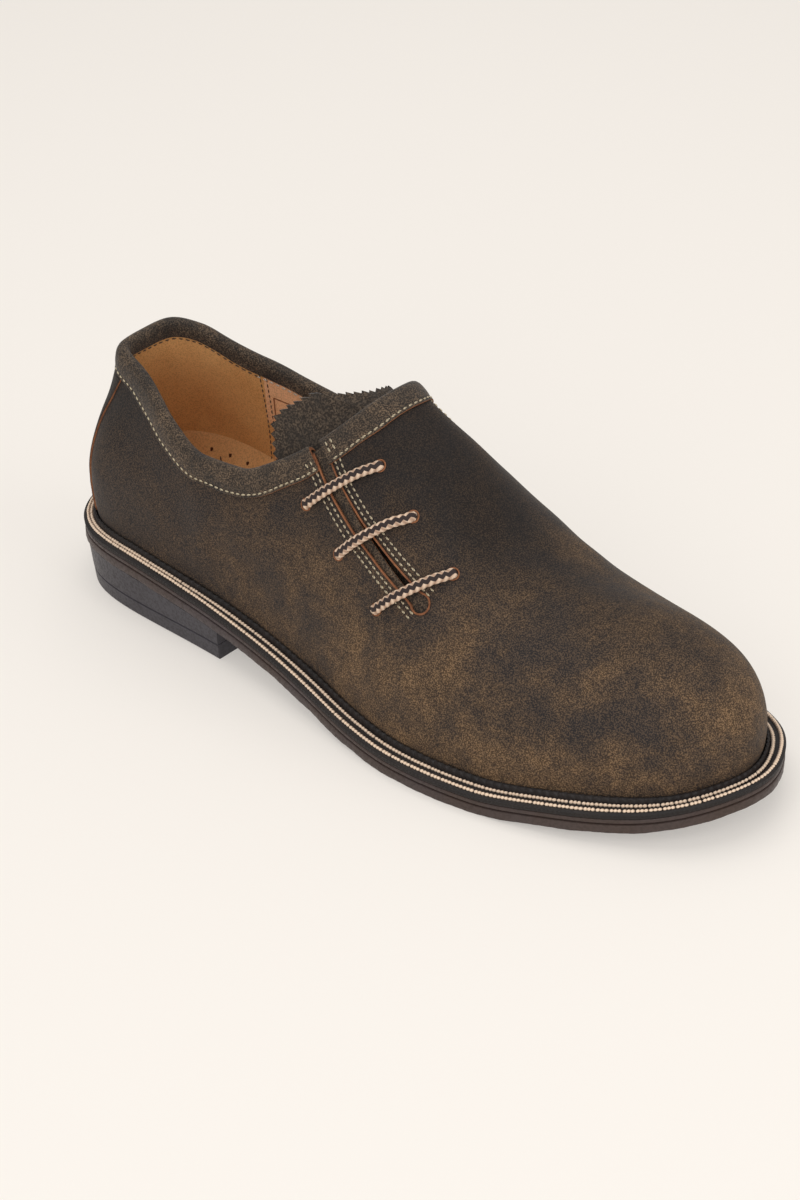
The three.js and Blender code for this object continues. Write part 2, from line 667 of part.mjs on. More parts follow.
// Tongue: carried by the upper round its sides and front, sunk under the lace in the middle
const tongueBack = curveThrough(column(tongueRows, 'girth'), column(tongueRows, 'back'))
const tongueFront = curveThrough(column(tongueRows, 'girth'), column(tongueRows, 'front'))
function buildTongue() {
  const low = tongueRows[0].girth
  const high = tongueRows.at(-1).girth
  const touch = UPPER_WALL + CURVED_CLEARANCE
  const sections = steps(low, high, TONGUE_STEPS).map((girth, j) => {
    const across = (girth - low) / (high - low)
    const back = tongueBack(girth)
    const front = tongueFront(girth)
    const tooth = j % 2 === 0 ? 0 : TOOTH_DEPTH / (SOLE_LENGTH / TOE_RIB)
    const top = []
    const bottom = []
    for (const along of steps(0, 1, 7)) {
      const rib = back + (front - back) * along + tooth * (1 - along)
      const fromEdge = Math.min(across, 1 - across, 1 - along)
      const underBinding = TONGUE_UNDER_BINDING * (1 - THREE.MathUtils.smoothstep(along, 0.45, 0.65))
      const sink = Math.max(
        underBinding, TONGUE_SINK * THREE.MathUtils.smoothstep(fromEdge, 0, TONGUE_RISE_SHARE))
      top.push(offsetPoint(rib, girth, -touch - sink))
      bottom.push(offsetPoint(rib, girth, -touch - sink - TONGUE_THICKNESS))
    }
    return [...top, ...bottom.reverse()]
  })
  return solidFromSections(sections)
}

// Insole, inside the upper's foot
function buildInsole() {
  const inset = (x, place) => {
    const welt = blendNumber(place, 'welt')
    return welt + UPPER_WALL + CLEARANCE
  }
  return layer(inset, (x) => margin(x) + INSOLE_THICKNESS, margin)
}

function blendNumber(u, name) {
  return ringWeights(u).reduce((sum, { index, weight }) => sum + ring[index][name] * weight, 0)
}

// Storm welt: a ring round the upper's foot with a bead against it
function buildWelt() {
  const sections = steps(0, RING, 1.75 * RING).slice(0, -1).map((u) => {
    const { point: edge, outward } = edgeAt(u)
    const clear = (s) => ribPoint(u, s).addScaledVector(surfaceNormal(u, s), CURVED_CLEARANCE)
    const atHeight = (height) => {
      let s = 0
      for (let i = 0; i < 8; i++) {
        const p = ribPoint(u, s)
        s = Math.max(0, s + (seat(p.x) + height - p.z) / (3 * (blend(u, 'belly').z - blend(u, 'foot').z)))
      }
      return clear(s)
    }
    const foot = atHeight(0)
    const out = (distance, height) => new THREE.Vector3(
      foot.x + outward.x * distance, foot.y + outward.y * distance, seat(foot.x) + height)
    const lowFoot = new THREE.Vector3(foot.x, foot.y, margin(foot.x))
    const edgeTop = new THREE.Vector3(edge.x, edge.y, seat(edge.x))
    const edgeLow = new THREE.Vector3(edge.x, edge.y, margin(edge.x))
    const shoulder = atHeight(BEAD_HEIGHT)
    const lean = shoulder.clone().sub(foot).setZ(0).length()
    return [
      lowFoot, foot, atHeight(BEAD_HEIGHT / 2), shoulder,
      out(lean + BEAD_WIDTH * 0.6, BEAD_HEIGHT * 0.92), out(BEAD_WIDTH, BEAD_HEIGHT * 0.45),
      out(BEAD_WIDTH + CLEARANCE, 0), edgeTop, edgeLow,
    ]
  })
  return solidFromSections(sections, true)
}

// Heel, cut square at its breast, and its lift
const BREAST = BREAST_AT * SOLE_LENGTH
const behindBreast = () => box([-BALL_WIDTH, -BALL_WIDTH, -HEEL_HEIGHT], [BREAST, BALL_WIDTH, 4 * HEEL_HEIGHT])
const HEEL_RIBS = 6
const taper = (x) => HEEL_TAPER * (1 - x / BREAST)

function heelLayer(insetTop, insetBottom, topAt, bottomAt) {
  const stations = STATIONS.filter((u) => u <= HEEL_RIBS)
  const sections = stations.map((u) => {
    const at = (place, inset, height) => {
      const { point, outward } = edgeAt(place)
      const p = point.clone().addScaledVector(outward, -inset(point.x))
      return new THREE.Vector3(p.x, p.y, height(p.x))
    }
    return [
      at(u, insetBottom, bottomAt), at(RING - u, insetBottom, bottomAt),
      at(RING - u, insetTop, topAt), at(u, insetTop, topAt),
    ]
  })
  return solidFromSections(sections).intersect(behindBreast())
}

const buildHeelBlock = () => heelLayer(
  () => HEEL_INSET,
  (x) => HEEL_INSET + taper(x) * (1 - LIFT_THICKNESS / HEEL_HEIGHT),
  (x) => underside(x) - CLEARANCE,
  () => LIFT_THICKNESS + CLEARANCE)

const buildLift = () => heelLayer(
  (x) => LIFT_INSET + taper(x) * (1 - LIFT_THICKNESS / HEEL_HEIGHT),
  (x) => LIFT_INSET + taper(x),
  () => LIFT_THICKNESS,
  () => 0)

// Lace: three bars over the slot, joined by two runs inside the shoe
const LACE_CLEAR = 0.7
const LACE_LIFT = LACE_DIAMETER / 2 + LACE_CLEAR
const LACE_SINK = UPPER_WALL + LACE_DIAMETER / 2 + LACE_CLEAR
function buildLace() {
  const points = []
  const bar = (from, to) => {
    const start = surfacePoint(from.rib, from.girth)
    const end = surfacePoint(to.rib, to.girth)
    const run = end.clone().sub(start).normalize()
    const lift = (place, share, height) => offsetPoint(place.rib, place.girth, height)
      .addScaledVector(run, share)
    const middle = { rib: (from.rib + to.rib) / 2, girth: (from.girth + to.girth) / 2 }
    const quarterOf = (a, b) => ({ rib: a.rib * 0.75 + b.rib * 0.25, girth: a.girth * 0.75 + b.girth * 0.25 })
    points.push(lift(from, 0, -UPPER_WALL - LACE_CLEAR))
    points.push(lift(from, 0, 0))
    points.push(lift(from, LACE_DIAMETER * 0.6, LACE_LIFT * 0.8))
    for (const place of [quarterOf(from, middle), middle, quarterOf(to, middle)]) {
      points.push(offsetPoint(place.rib, place.girth, LACE_LIFT + 0.5))
    }
    points.push(lift(to, -LACE_DIAMETER * 0.6, LACE_LIFT * 0.8))
    points.push(lift(to, 0, 0))
    points.push(lift(to, 0, -UPPER_WALL - LACE_CLEAR))
  }
  const run = (from, to) => {
    for (const share of [0.15, 0.5, 0.85]) {
      const place = {
        rib: THREE.MathUtils.lerp(from.rib, to.rib, share),
        girth: THREE.MathUtils.lerp(from.girth, to.girth, share),
      }
      points.push(offsetPoint(place.rib, place.girth, -LACE_SINK))
    }
  }
  const lower = holeRows.map((row) => ({ rib: row.lowerRib, girth: row.lowerGirth }))
  const upper = holeRows.map((row) => ({ rib: row.upperRib, girth: row.upperGirth }))
  bar(lower[0], upper[0])
  run(upper[0], upper[1])
  bar(upper[1], lower[1])
  run(lower[1], lower[2])
  bar(lower[2], upper[2])
  const path = new THREE.CatmullRomCurve3(points, false, 'centripetal')
  const section = new THREE.Shape()
  for (let i = 0; i < LACE_SIDES; i++) {
    const angle = 2 * Math.PI * i / LACE_SIDES
    const x = LACE_DIAMETER / 2 * Math.cos(angle)
    const y = LACE_DIAMETER / 2 * Math.sin(angle)
    if (i === 0) section.moveTo(x, y)
    else section.lineTo(x, y)
  }
  section.closePath()
  return toManifold(geometryTriangles(new THREE.ExtrudeGeometry(section, {
    steps: 66, bevelEnabled: false, extrudePath: path,
  })))
}

function meshOf(name, manifold, color, roughness) {
  const data = manifold.getMesh()
  const geometry = new THREE.BufferGeometry()
  geometry.setAttribute('position', new THREE.BufferAttribute(new Float32Array(data.vertProperties), 3))
  geometry.setIndex(new THREE.BufferAttribute(new Uint32Array(data.triVerts), 1))
  geometry.computeVertexNormals()
  const mesh = new THREE.Mesh(geometry, new THREE.MeshStandardMaterial({ color, roughness, metalness: 0 }))
  mesh.name = name
  return mesh
}

// The origin lies under the middle of the outline, on the floor
const outline = new THREE.Box2()
for (const u of steps(0, RING, 8 * RING)) outline.expandByPoint(edgeAt(u).point)
const centre = outline.getCenter(new THREE.Vector2())

const shoe = new THREE.Group()
shoe.position.set(-centre.x, -centre.y, 0)
shoe.add(
  meshOf('upper', buildUpper(), 0x463a30, 0.85),
  meshOf('collar_binding', buildBinding(), 0x524c45, 0.9),
  meshOf('tongue', buildTongue(), 0x4a453f, 0.95),
  meshOf('insole', buildInsole(), 0xb9824c, 0.7),
  meshOf('welt', buildWelt(), 0x1d1a1a, 0.6),
  meshOf('midsole', layer(() => MIDSOLE_INSET, midsoleTop, midsoleBottom), 0x4d484a, 0.7),
  meshOf('outsole', layer(() => OUTSOLE_INSET, outsoleTop, underside), 0x454044, 0.75),
  meshOf('heel_block', buildHeelBlock(), 0x50494b, 0.6),
  meshOf('heel_top_lift', buildLift(), 0x3c383c, 0.75),
  meshOf('lace', buildLace(), 0xcdb09a, 0.9),
)

export default shoe
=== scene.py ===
# %% [markdown]
# # A low side-lacing shoe
# The shoe is an empty right shoe of waxed suede. A curved slot in its outer side is laced with three
# bars of cord, the collar is bound with a soft folded strip, and the upper is stitched through a storm
# welt to a layered sole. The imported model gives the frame, and every piece here is placed in it.

# %% Load the frame
import math
import bmesh
import bpy
import numpy as np
from mathutils import Matrix, Vector


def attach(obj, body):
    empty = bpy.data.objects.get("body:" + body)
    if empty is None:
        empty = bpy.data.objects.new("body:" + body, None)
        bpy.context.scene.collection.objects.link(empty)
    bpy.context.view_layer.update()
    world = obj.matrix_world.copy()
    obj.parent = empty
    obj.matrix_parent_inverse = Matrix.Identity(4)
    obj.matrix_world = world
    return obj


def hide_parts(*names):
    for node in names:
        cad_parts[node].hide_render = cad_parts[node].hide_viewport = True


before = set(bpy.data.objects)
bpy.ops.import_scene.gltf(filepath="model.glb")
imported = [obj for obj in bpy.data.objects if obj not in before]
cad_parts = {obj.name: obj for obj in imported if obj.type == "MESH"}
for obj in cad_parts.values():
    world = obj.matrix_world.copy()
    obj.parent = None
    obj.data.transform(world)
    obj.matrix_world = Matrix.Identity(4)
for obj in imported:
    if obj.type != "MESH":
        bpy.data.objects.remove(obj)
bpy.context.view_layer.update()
MM = 0.001
print("nodes:", sorted(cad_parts))

# %% [markdown]
# ## The camera
# The photo looks down on the outer side of the toe. The camera stands where the photo was taken from,
# and turns by the shortest way until the one shoe is in the middle of the picture, so that the shoe is
# seen in the same perspective. It comes first, because everything is judged through it.

# %% Place the camera
CAMERA_PLACE = Vector((0.5362, -0.5880, 0.5279))
PHOTO_AIM = Vector((-0.0065, 0.1099, 0.0))
SHOE_AIM = Vector((0.003, -0.006, 0.034))
CAMERA_LENS = 80.5
camera_data = bpy.data.cameras.new("photo_camera")
camera = bpy.data.objects.new("photo_camera", camera_data)
bpy.context.scene.collection.objects.link(camera)
camera_data.sensor_fit = "VERTICAL"
camera_data.sensor_height = 36
camera_data.lens = CAMERA_LENS
camera_data.clip_start = 0.01
camera_data.clip_end = 20
photo_turn = (PHOTO_AIM - CAMERA_PLACE).to_track_quat("-Z", "Y")
towards_photo = (PHOTO_AIM - CAMERA_PLACE).normalized()
towards_shoe = (SHOE_AIM - CAMERA_PLACE).normalized()
turn = towards_photo.rotation_difference(towards_shoe) @ photo_turn
camera.matrix_world = Matrix.Translation(CAMERA_PLACE) @ turn.to_matrix().to_4x4()
bpy.context.scene.camera = camera
print("the camera turned by", round(math.degrees(towards_photo.angle(towards_shoe)), 1), "degrees")

# %% [markdown]
# ## The last
# Leather is pulled over a last, so every piece of the upper is a stretch of one surface. The surface is
# a ring of ribs: each rises from the welt to the crown as a Bezier curve, and the ribs are blended along
# the shoe as a B-spline. The table holds shares of a few named sizes, as in the part's source.

# %% Sizes and ribs of the last
SOLE_LENGTH = 303
BALL_WIDTH = 106
INSTEP_HEIGHT = 100
COLLAR_HEIGHT = 96
HEEL_HEIGHT = 17.8
TOE_SPRING = 12.2
WELT_WIDTH = 7.5
WELT_THICKNESS = 2.2
OUTSOLE_THICKNESS = 3.4
MIDSOLE_THICKNESS = 1.6
LAYER_GAP = 0.3
UPPER_WALL = 2.6
BINDING_DROP = 9.5
BINDING_RISE = 2.4
# at, lateral, medial, crown at, crown lateral, crown medial, crown height, drop,
# bulge, rise, shoulder (lateral), bulge, rise, shoulder (medial), welt lateral, welt medial
RIBS = np.array([
    [-0.007, 0, 0, 0.086, 0, 0, 1.075, 0.45, 0.042, 0.45, 0, 0.04, 0.45, 0, 0.8, 0.8],
    [0.015, 0.198, 0.187, 0.086, 0.138, 0.113, 1.08, 0.45, 0.06, 0.465, 0, 0.037, 0.45, 0, 0.76, 0.8],
    [0.062, 0.321, 0.319, 0.112, 0.162, 0.145, 1.06, 0.45, 0.057, 0.47, 0, 0.037, 0.45, 0, 0.78, 0.8],
    [0.131, 0.362, 0.351, 0.169, 0.187, 0.175, 1.04, 0.45, 0.04, 0.465, 0.05, 0.039, 0.45, 0.04, 0.82, 0.8],
    [0.22, 0.37, 0.324, 0.216, 0.252, 0.268, 1.04, 0.395, 0.038, 0.465, 0.1, 0.043, 0.455, 0.1, 0.82, 0.79],
    [0.32, 0.384, 0.295, 0.292, 0.24, 0.305, 1.05, 0.28, 0.045, 0.455, 0.2, 0.069, 0.465, 0.2, 0.93, 0.65],
    [0.418, 0.419, 0.303, 0.455, 0.075, 0.185, 1.055, 0.135, 0.046, 0.43, 0.285, 0.086, 0.475, 0.325, 0.98, 0.59],
    [0.517, 0.483, 0.364, 0.545, 0.02, 0.07, 0.98, 0, 0.047, 0.385, 0.4, 0.079, 0.575, 0.58, 1.02, 0.64],
    [0.616, 0.54, 0.439, 0.605, 0, 0, 0.835, 0, 0.038, 0.36, 0.5, 0.063, 0.595, 0.67, 1.03, 0.82],
    [0.715, 0.53, 0.477, 0.655, 0, 0, 0.7, 0, 0.035, 0.44, 0.57, 0.043, 0.6, 0.69, 1.03, 0.98],
    [0.814, 0.472, 0.46, 0.705, 0, 0, 0.62, 0, 0.033, 0.53, 0.6, 0.036, 0.59, 0.675, 1.03, 1.05],
    [0.894, 0.384, 0.398, 0.765, 0, 0, 0.605, 0, 0.034, 0.55, 0.605, 0.042, 0.595, 0.63, 1.03, 1.03],
    [0.958, 0.27, 0.282, 0.802, 0, 0, 0.603, 0, 0.045, 0.615, 0.61, 0.055, 0.64, 0.64, 0.97, 0.94],
    [0.993, 0.114, 0.113, 0.812, 0, 0, 0.603, 0, 0.046, 0.61, 0.6, 0.048, 0.61, 0.625, 1, 1],
    [1.003, 0, 0, 0.815, 0, 0, 0.602, 0, 0.042, 0.6, 0.6, 0.042, 0.6, 0.6, 1.05, 1.05],
])
# place along the sole, share of the heel height, share of the toe spring
UNDERSIDE = np.array([
    [0, 1, 0], [0.13, 0.985, 0], [0.25, 0.8, 0], [0.36, 0.56, 0], [0.46, 0.31, 0], [0.55, 0.07, 0],
    [0.62, 0, 0], [0.73, 0, 0], [0.82, 0, 0.24], [0.91, 0, 0.49], [1, 0, 1],
])
# place along the sole, share of the collar height on the lateral and the medial side
TOPLINE = np.array([
    [0, 1, 1], [0.06, 1.015, 1.018], [0.12, 0.985, 1.005], [0.2, 0.875, 0.89], [0.27, 0.79, 0.825],
    [0.33, 0.795, 0.81], [0.38, 0.865, 0.84], [0.432, 0.982, 0.972], [0.465, 1.085, 1.075], [0.5, 1.22, 1.21],
])
COLLAR_BLEND = 12


def curve_through(places, values):
    """A smooth curve through rows of place and value, with no overshoot."""
    spans = np.diff(places)
    slopes = np.diff(values) / spans
    tangents = np.zeros(len(places))
    for i in range(1, len(places) - 1):
        if slopes[i - 1] * slopes[i] > 0:
            before = 2 * spans[i] + spans[i - 1]
            after = spans[i] + 2 * spans[i - 1]
            tangents[i] = (before + after) / (before / slopes[i - 1] + after / slopes[i])
    tangents[0], tangents[-1] = slopes[0], slopes[-1]

    def value(place):
        x = np.clip(place, places[0], places[-1])
        k = np.clip(np.searchsorted(places, x, side="left") - 1, 0, len(places) - 2)
        t = (x - places[k]) / spans[k]
        rise = t * t * (3 - 2 * t)
        bend = tangents[k] * t * (1 - t) ** 2 + tangents[k + 1] * t * t * (t - 1)
        return values[k] * (1 - rise) + values[k + 1] * rise + spans[k] * bend
    return value


heel_share = curve_through(UNDERSIDE[:, 0], UNDERSIDE[:, 1])
toe_share = curve_through(UNDERSIDE[:, 0], UNDERSIDE[:, 2])
lateral_top = curve_through(TOPLINE[:, 0], TOPLINE[:, 1])
medial_top = curve_through(TOPLINE[:, 0], TOPLINE[:, 2])


def underside(x):
    return HEEL_HEIGHT * heel_share(x / SOLE_LENGTH) + TOE_SPRING * toe_share(x / SOLE_LENGTH)


def outsole_top(x):
    return underside(x) + OUTSOLE_THICKNESS


def midsole_top(x):
    return outsole_top(x) + LAYER_GAP + MIDSOLE_THICKNESS


def margin(x):
    return midsole_top(x) + LAYER_GAP


def seat(x):
    return margin(x) + WELT_THICKNESS


def smoothstep(value, low, high):
    t = np.clip((value - low) / (high - low), 0, 1)
    return t * t * (3 - 2 * t)


def topline(x, y):
    side = smoothstep(y, -COLLAR_BLEND, COLLAR_BLEND)
    share = x / SOLE_LENGTH
    return COLLAR_HEIGHT * (lateral_top(share) * (1 - side) + medial_top(share) * side)


print("the seat of the foot is", round(float(seat(0.1 * SOLE_LENGTH)), 1), "mm up at the heel")

# %% [markdown]
# The ribs stand in a ring: 0 at the back of the heel, up the lateral side to 14 at the toe, and back
# along the medial side. `surface(u, girth)` runs over the shoe, from girth 0 at the lateral welt, over
# the crown between 1 and 2, to 3 at the medial welt. All of it works on whole arrays of places at once.

# %% The surface of the last
TOE_RIB = len(RIBS) - 1
RING = 2 * TOE_RIB
places_round = np.arange(RING)
on_lateral = places_round <= TOE_RIB
rib_row = np.where(on_lateral, places_round, RING - places_round)
side_sign = np.where(on_lateral, -1.0, 1.0)


def of_side(lateral_column, medial_column):
    return np.where(on_lateral, RIBS[rib_row, lateral_column], RIBS[rib_row, medial_column])


EDGE_POINTS = np.stack([RIBS[rib_row, 0] * SOLE_LENGTH, side_sign * of_side(1, 2) * BALL_WIDTH], 1)
WELT_POINTS = of_side(14, 15) * WELT_WIDTH


def ring_weights(u):
    """The four ribs round each place, their B-spline weights, and the weights of the slope."""
    u = np.asarray(u, float)
    start = np.floor(u)
    t = (u - start)[..., None]
    weight = np.concatenate([
        (1 - t) ** 3, 3 * t ** 3 - 6 * t ** 2 + 4, -3 * t ** 3 + 3 * t ** 2 + 3 * t + 1, t ** 3], -1) / 6
    slope = np.concatenate([-(1 - t) ** 2, 3 * t ** 2 - 4 * t, -3 * t ** 2 + 2 * t + 1, t ** 2], -1) / 2
    index = (start[..., None].astype(int) + np.array([-1, 0, 1, 2])) % RING
    return index, weight, slope


def along_ring(u, points):
    index, weight, _ = ring_weights(u)
    return (points[index] * weight[..., None]).sum(-2)


def edge(u):
    """Place of the sole's edge on the ring, and the direction out of the shoe there."""
    index, _, slope = ring_weights(u)
    along = (EDGE_POINTS[index] * slope[..., None]).sum(-2)
    outward = np.stack([along[..., 1], -along[..., 0]], -1)
    return along_ring(u, EDGE_POINTS), outward / np.linalg.norm(outward, axis=-1, keepdims=True)


def crown_slope(row):
    """Rise of the crown line by its run along the shoe, and 0 where the rib closes over the heel."""
    if RIBS[row, 7] > 0.2:
        return 0.0
    for k in range(min(row, TOE_RIB - 1), 0, -1):
        run = (RIBS[k + 1, 3] - RIBS[k - 1, 3]) * SOLE_LENGTH
        if run > 0.02 * SOLE_LENGTH:
            return (RIBS[k + 1, 6] - RIBS[k - 1, 6]) * INSTEP_HEIGHT / run
    return 0.0


_, out_at_ribs = edge(places_round.astype(float))
foot_xy = EDGE_POINTS - out_at_ribs * WELT_POINTS[:, None]
foot_z = seat(foot_xy[:, 0])
CROWN = np.stack([RIBS[rib_row, 3] * SOLE_LENGTH, side_sign * of_side(4, 5) * BALL_WIDTH,
                  RIBS[rib_row, 6] * INSTEP_HEIGHT], 1)
rib_height = CROWN[:, 2] - foot_z
crown_slopes = np.array([crown_slope(row) for row in rib_row])
across = (foot_xy - CROWN[:, :2]) * of_side(10, 13)[:, None]
FOOT = np.c_[foot_xy, foot_z]
BELLY = np.c_[foot_xy + out_at_ribs * (of_side(8, 11) * BALL_WIDTH)[:, None],
              foot_z + of_side(9, 12) * rib_height]
SHOULDER = np.c_[CROWN[:, :2] + across,
                 CROWN[:, 2] + crown_slopes * across[:, 0] - RIBS[rib_row, 7] * rib_height]


def bezier(a, b, c, d, t):
    t = np.asarray(t)[..., None]
    k = 1 - t
    return a * k ** 3 + 3 * b * t * k * k + 3 * c * t * t * k + d * t ** 3


def unit(vectors):
    return vectors / (np.linalg.norm(vectors, axis=-1, keepdims=True) + 1e-12)


def length_along(points):
    """Length from the start of a line of points to each of them."""
    return np.r_[0, np.cumsum(np.linalg.norm(np.diff(points, axis=0), axis=1))]


def rib_surface(u, s):
    """One side of the last, from the welt at s 0 to the crown at s 1."""
    return bezier(*(along_ring(u, points) for points in (FOOT, BELLY, SHOULDER, CROWN)), s)


def bridge_surface(u, t):
    """The top of the last, from the lateral crown over to the medial one."""
    start, end = along_ring(u, CROWN), along_ring(RING - u, CROWN)
    reach = np.linalg.norm(end - start, axis=-1, keepdims=True) / 3
    start_pull = unit(start - along_ring(u, SHOULDER))
    end_pull = unit(end - along_ring(RING - u, SHOULDER))
    return bezier(start, start + start_pull * reach, end + end_pull * reach, end, t)


def surface(u, girth):
    u, girth = np.broadcast_arrays(np.asarray(u, float), np.asarray(girth, float))
    lateral = rib_surface(u, np.clip(girth, 0, 1))
    middle = bridge_surface(u, np.clip(girth - 1, 0, 1))
    medial = rib_surface(RING - u, np.clip(3 - girth, 0, 1))
    return np.where((girth <= 1)[..., None], lateral, np.where((girth >= 2)[..., None], medial, middle))


def surface_normal(u, girth):
    u, girth = np.broadcast_arrays(np.asarray(u, float), np.asarray(girth, float))

    def cross_at(g):
        along = surface(u + 0.01, g) - surface(u - 0.01, g)
        up = surface(u, np.minimum(g + 0.01, 3)) - surface(u, np.maximum(g - 0.01, 0))
        return unit(np.cross(along, up))
    gap = np.linalg.norm(along_ring(u, CROWN) - along_ring(RING - u, CROWN), axis=-1)
    beside = unit(cross_at(np.full_like(girth, 0.96)) + cross_at(np.full_like(girth, 2.04)))
    narrow = smoothstep(2.5 - gap, 0, 1) * (1 - smoothstep(np.abs(girth - 1.5), 0.54, 0.6))
    return unit(cross_at(girth) * (1 - narrow)[..., None] + beside * narrow[..., None])


def lifted(u, girth, height):
    return surface(u, girth) + surface_normal(u, girth) * np.asarray(height, float)[..., None]


u_fine = np.linspace(0, RING, 8 * RING + 1)
outline = edge(u_fine)[0]
CENTRE = (outline.min(0) + outline.max(0)) / 2


def to_frame(points):
    """From millimetres behind the heel's edge to metres in the part's frame."""
    return (np.asarray(points) - np.array([CENTRE[0], CENTRE[1], 0])) * MM


print("outline centre, mm:", CENTRE.round(2))

# %% [markdown]
# ## Making meshes
# Each piece is computed as rows of points and turned into a mesh here. Doubles are merged, because the
# ribs of the two sides meet at heel and toe, and the faces are left smooth except across hard edges.

# %% Mesh helpers
MERGE_DISTANCE, SHORTEST_EDGE = 2e-6, 1e-7


def new_object(name, data):
    item = bpy.data.objects.new(name, data)
    bpy.context.scene.collection.objects.link(item)
    return item


def new_piece(name, points, faces, materials, face_material=None, uv=None, sharp=40):
    """A mesh object at the origin from points in millimetres. uv holds one pair for each point."""
    mesh = bpy.data.meshes.new(name)
    mesh.from_pydata(to_frame(points).tolist(), [], [list(map(int, f)) for f in faces])
    for material in materials:
        mesh.materials.append(material)
    if face_material is not None:
        mesh.polygons.foreach_set("material_index", np.asarray(face_material, np.int32))
    if uv is not None:
        layer = mesh.uv_layers.new(name="UVMap")
        loops = np.zeros(len(mesh.loops), np.int32)
        mesh.loops.foreach_get("vertex_index", loops)
        layer.data.foreach_set("uv", np.asarray(uv, np.float32)[loops].ravel())
    work = bmesh.new()
    work.from_mesh(mesh)
    bmesh.ops.remove_doubles(work, verts=work.verts, dist=MERGE_DISTANCE)
    bmesh.ops.dissolve_degenerate(work, edges=work.edges, dist=SHORTEST_EDGE)
    work.to_mesh(mesh)
    work.free()
    mesh.polygons.foreach_set("use_smooth", np.ones(len(mesh.polygons), bool))
    mesh.set_sharp_from_angle(angle=math.radians(sharp))
    mesh.update()
    return new_object(name, mesh)


def grid_faces(rows, columns, wrap_rows=False, wrap_columns=False):
    """Quads over a grid of points numbered row by row."""
    i = np.arange(rows if wrap_rows else rows - 1)
    j = np.arange(columns if wrap_columns else columns - 1)
    i, j = np.meshgrid(i, j, indexing="ij")
    i2, j2 = (i + 1) % rows, (j + 1) % columns
    corners = [i * columns + j, i2 * columns + j, i2 * columns + j2, i * columns + j2]
    return np.stack(corners, -1).reshape(-1, 4)


def slab_faces(rows, columns):
    """Faces of a closed sheet: a grid of points, the same grid below it, and walls round the border."""
    skin, below = grid_faces(rows, columns), rows * columns
    border = np.r_[np.arange(columns), np.arange(1, rows) * columns + columns - 1,
                   (rows - 1) * columns + np.arange(columns - 1)[::-1], np.arange(1, rows - 1)[::-1] * columns]
    following = np.roll(border, -1)
    walls = np.stack([border, following, following + below, border + below], 1)
    return np.concatenate([skin, (skin + below)[:, ::-1], walls])


def closed_piece(*settings, **more):
    """A new piece whose faces are all turned outwards."""
    piece = new_piece(*settings, **more)
    work = bmesh.new()
    work.from_mesh(piece.data)
    bmesh.ops.recalc_face_normals(work, faces=work.faces)
    if work.calc_volume(signed=True) < 0:
        bmesh.ops.reverse_faces(work, faces=work.faces)
    work.to_mesh(piece.data)
    work.free()
    return piece


def second_material(piece, reading, chosen):
    """Gives the second material to the faces whose centre or normal is chosen by a function."""
    values = np.zeros(len(piece.data.polygons) * 3)
    piece.data.polygons.foreach_get(reading, values)
    piece.data.polygons.foreach_set("material_index", chosen(values.reshape(-1, 3)).astype(np.int32))


def report(*pieces):
    """Prints the triangles and the size of each piece."""
    for piece in pieces:
        piece.data.calc_loop_triangles()
        size = np.ptp(np.array(piece.bound_box), axis=0) / MM
        print(piece.name, len(piece.data.loop_triangles), "triangles,", size.round(1), "mm")


print("helpers ready")

# %% [markdown]
# ## Finishes
# Waxed suede is charcoal where the wax is thick and warm brown where it has worn, with fine pale
# specks all over. The upper is also painted darker towards its top and over its crown, as painted shade.
# Two shader groups are shared by all the leathers: one gives soft patches, and one gives the fine nap
# as a mask and as a height. Every finish reads the piece's own coordinates.

# %% Node helpers
def new_material(name):
    material = bpy.data.materials.new(name)
    material.use_nodes = True
    nodes = material.node_tree.nodes
    shader = next(n for n in nodes if n.type == "BSDF_PRINCIPLED")
    return material, material.node_tree, shader


def feed(tree, socket, value):
    """Links a socket to an input, or sets the input to a value."""
    if isinstance(value, bpy.types.NodeSocket):
        tree.links.new(value, socket)
    else:
        socket.default_value = value


def add(tree, kind, settings=None, **inputs):
    """A node of a kind, its settings, and its inputs by name, or by number as i0 and i1."""
    node = tree.nodes.new(kind)
    for key, value in (settings or {}).items():
        setattr(node, key, value)
    for key, value in inputs.items():
        numbered = key[0] == "i" and key[1:].isdigit()
        feed(tree, node.inputs[int(key[1:]) if numbered else key.replace("_", " ")], value)
    return node


def use_group(tree, group, **inputs):
    return add(tree, "ShaderNodeGroup", {"node_tree": group}, **inputs)


def object_place(tree):
    return add(tree, "ShaderNodeTexCoord").outputs["Object"]


def ramp(tree, factor, stops):
    node = add(tree, "ShaderNodeValToRGB", Fac=factor)
    for element, (place, shade) in zip(node.color_ramp.elements, stops):
        element.position, element.color = place, (*shade, 1)
    return node.outputs["Color"]


def eased(tree, value, low, high, to_low=0.0, to_high=1.0):
    """A value eased from one range to another, and held beyond its ends."""
    return add(tree, "ShaderNodeMapRange", {"interpolation_type": "SMOOTHSTEP"}, Value=value, From_Min=low,
               From_Max=high, To_Min=to_low, To_Max=to_high).outputs[0]


def blend_colours(tree, factor, a, b, mode="MIX"):
    node = add(tree, "ShaderNodeMix", {"data_type": "RGBA", "blend_type": mode}, i0=factor)
    for number, value in ((6, a), (7, b)):
        feed(tree, node.inputs[number], (*value, 1) if isinstance(value, tuple) else value)
    return node.outputs[2]


def math_node(tree, operation, *values):
    node = add(tree, "ShaderNodeMath", {"operation": operation})
    for socket, value in zip(node.inputs, values):
        feed(tree, socket, value)
    return node.outputs[0]


def finish_shader(tree, shader, base, bump, depth, height, **values):
    """Gives a shader its colour, its relief and its other inputs by name."""
    relief = add(tree, "ShaderNodeBump", Strength=bump, Distance=depth, Height=height).outputs[0]
    for name, value in {"Base Color": base, "Normal": relief, **values}.items():
        feed(tree, shader.inputs[name.replace("_", " ")], value)


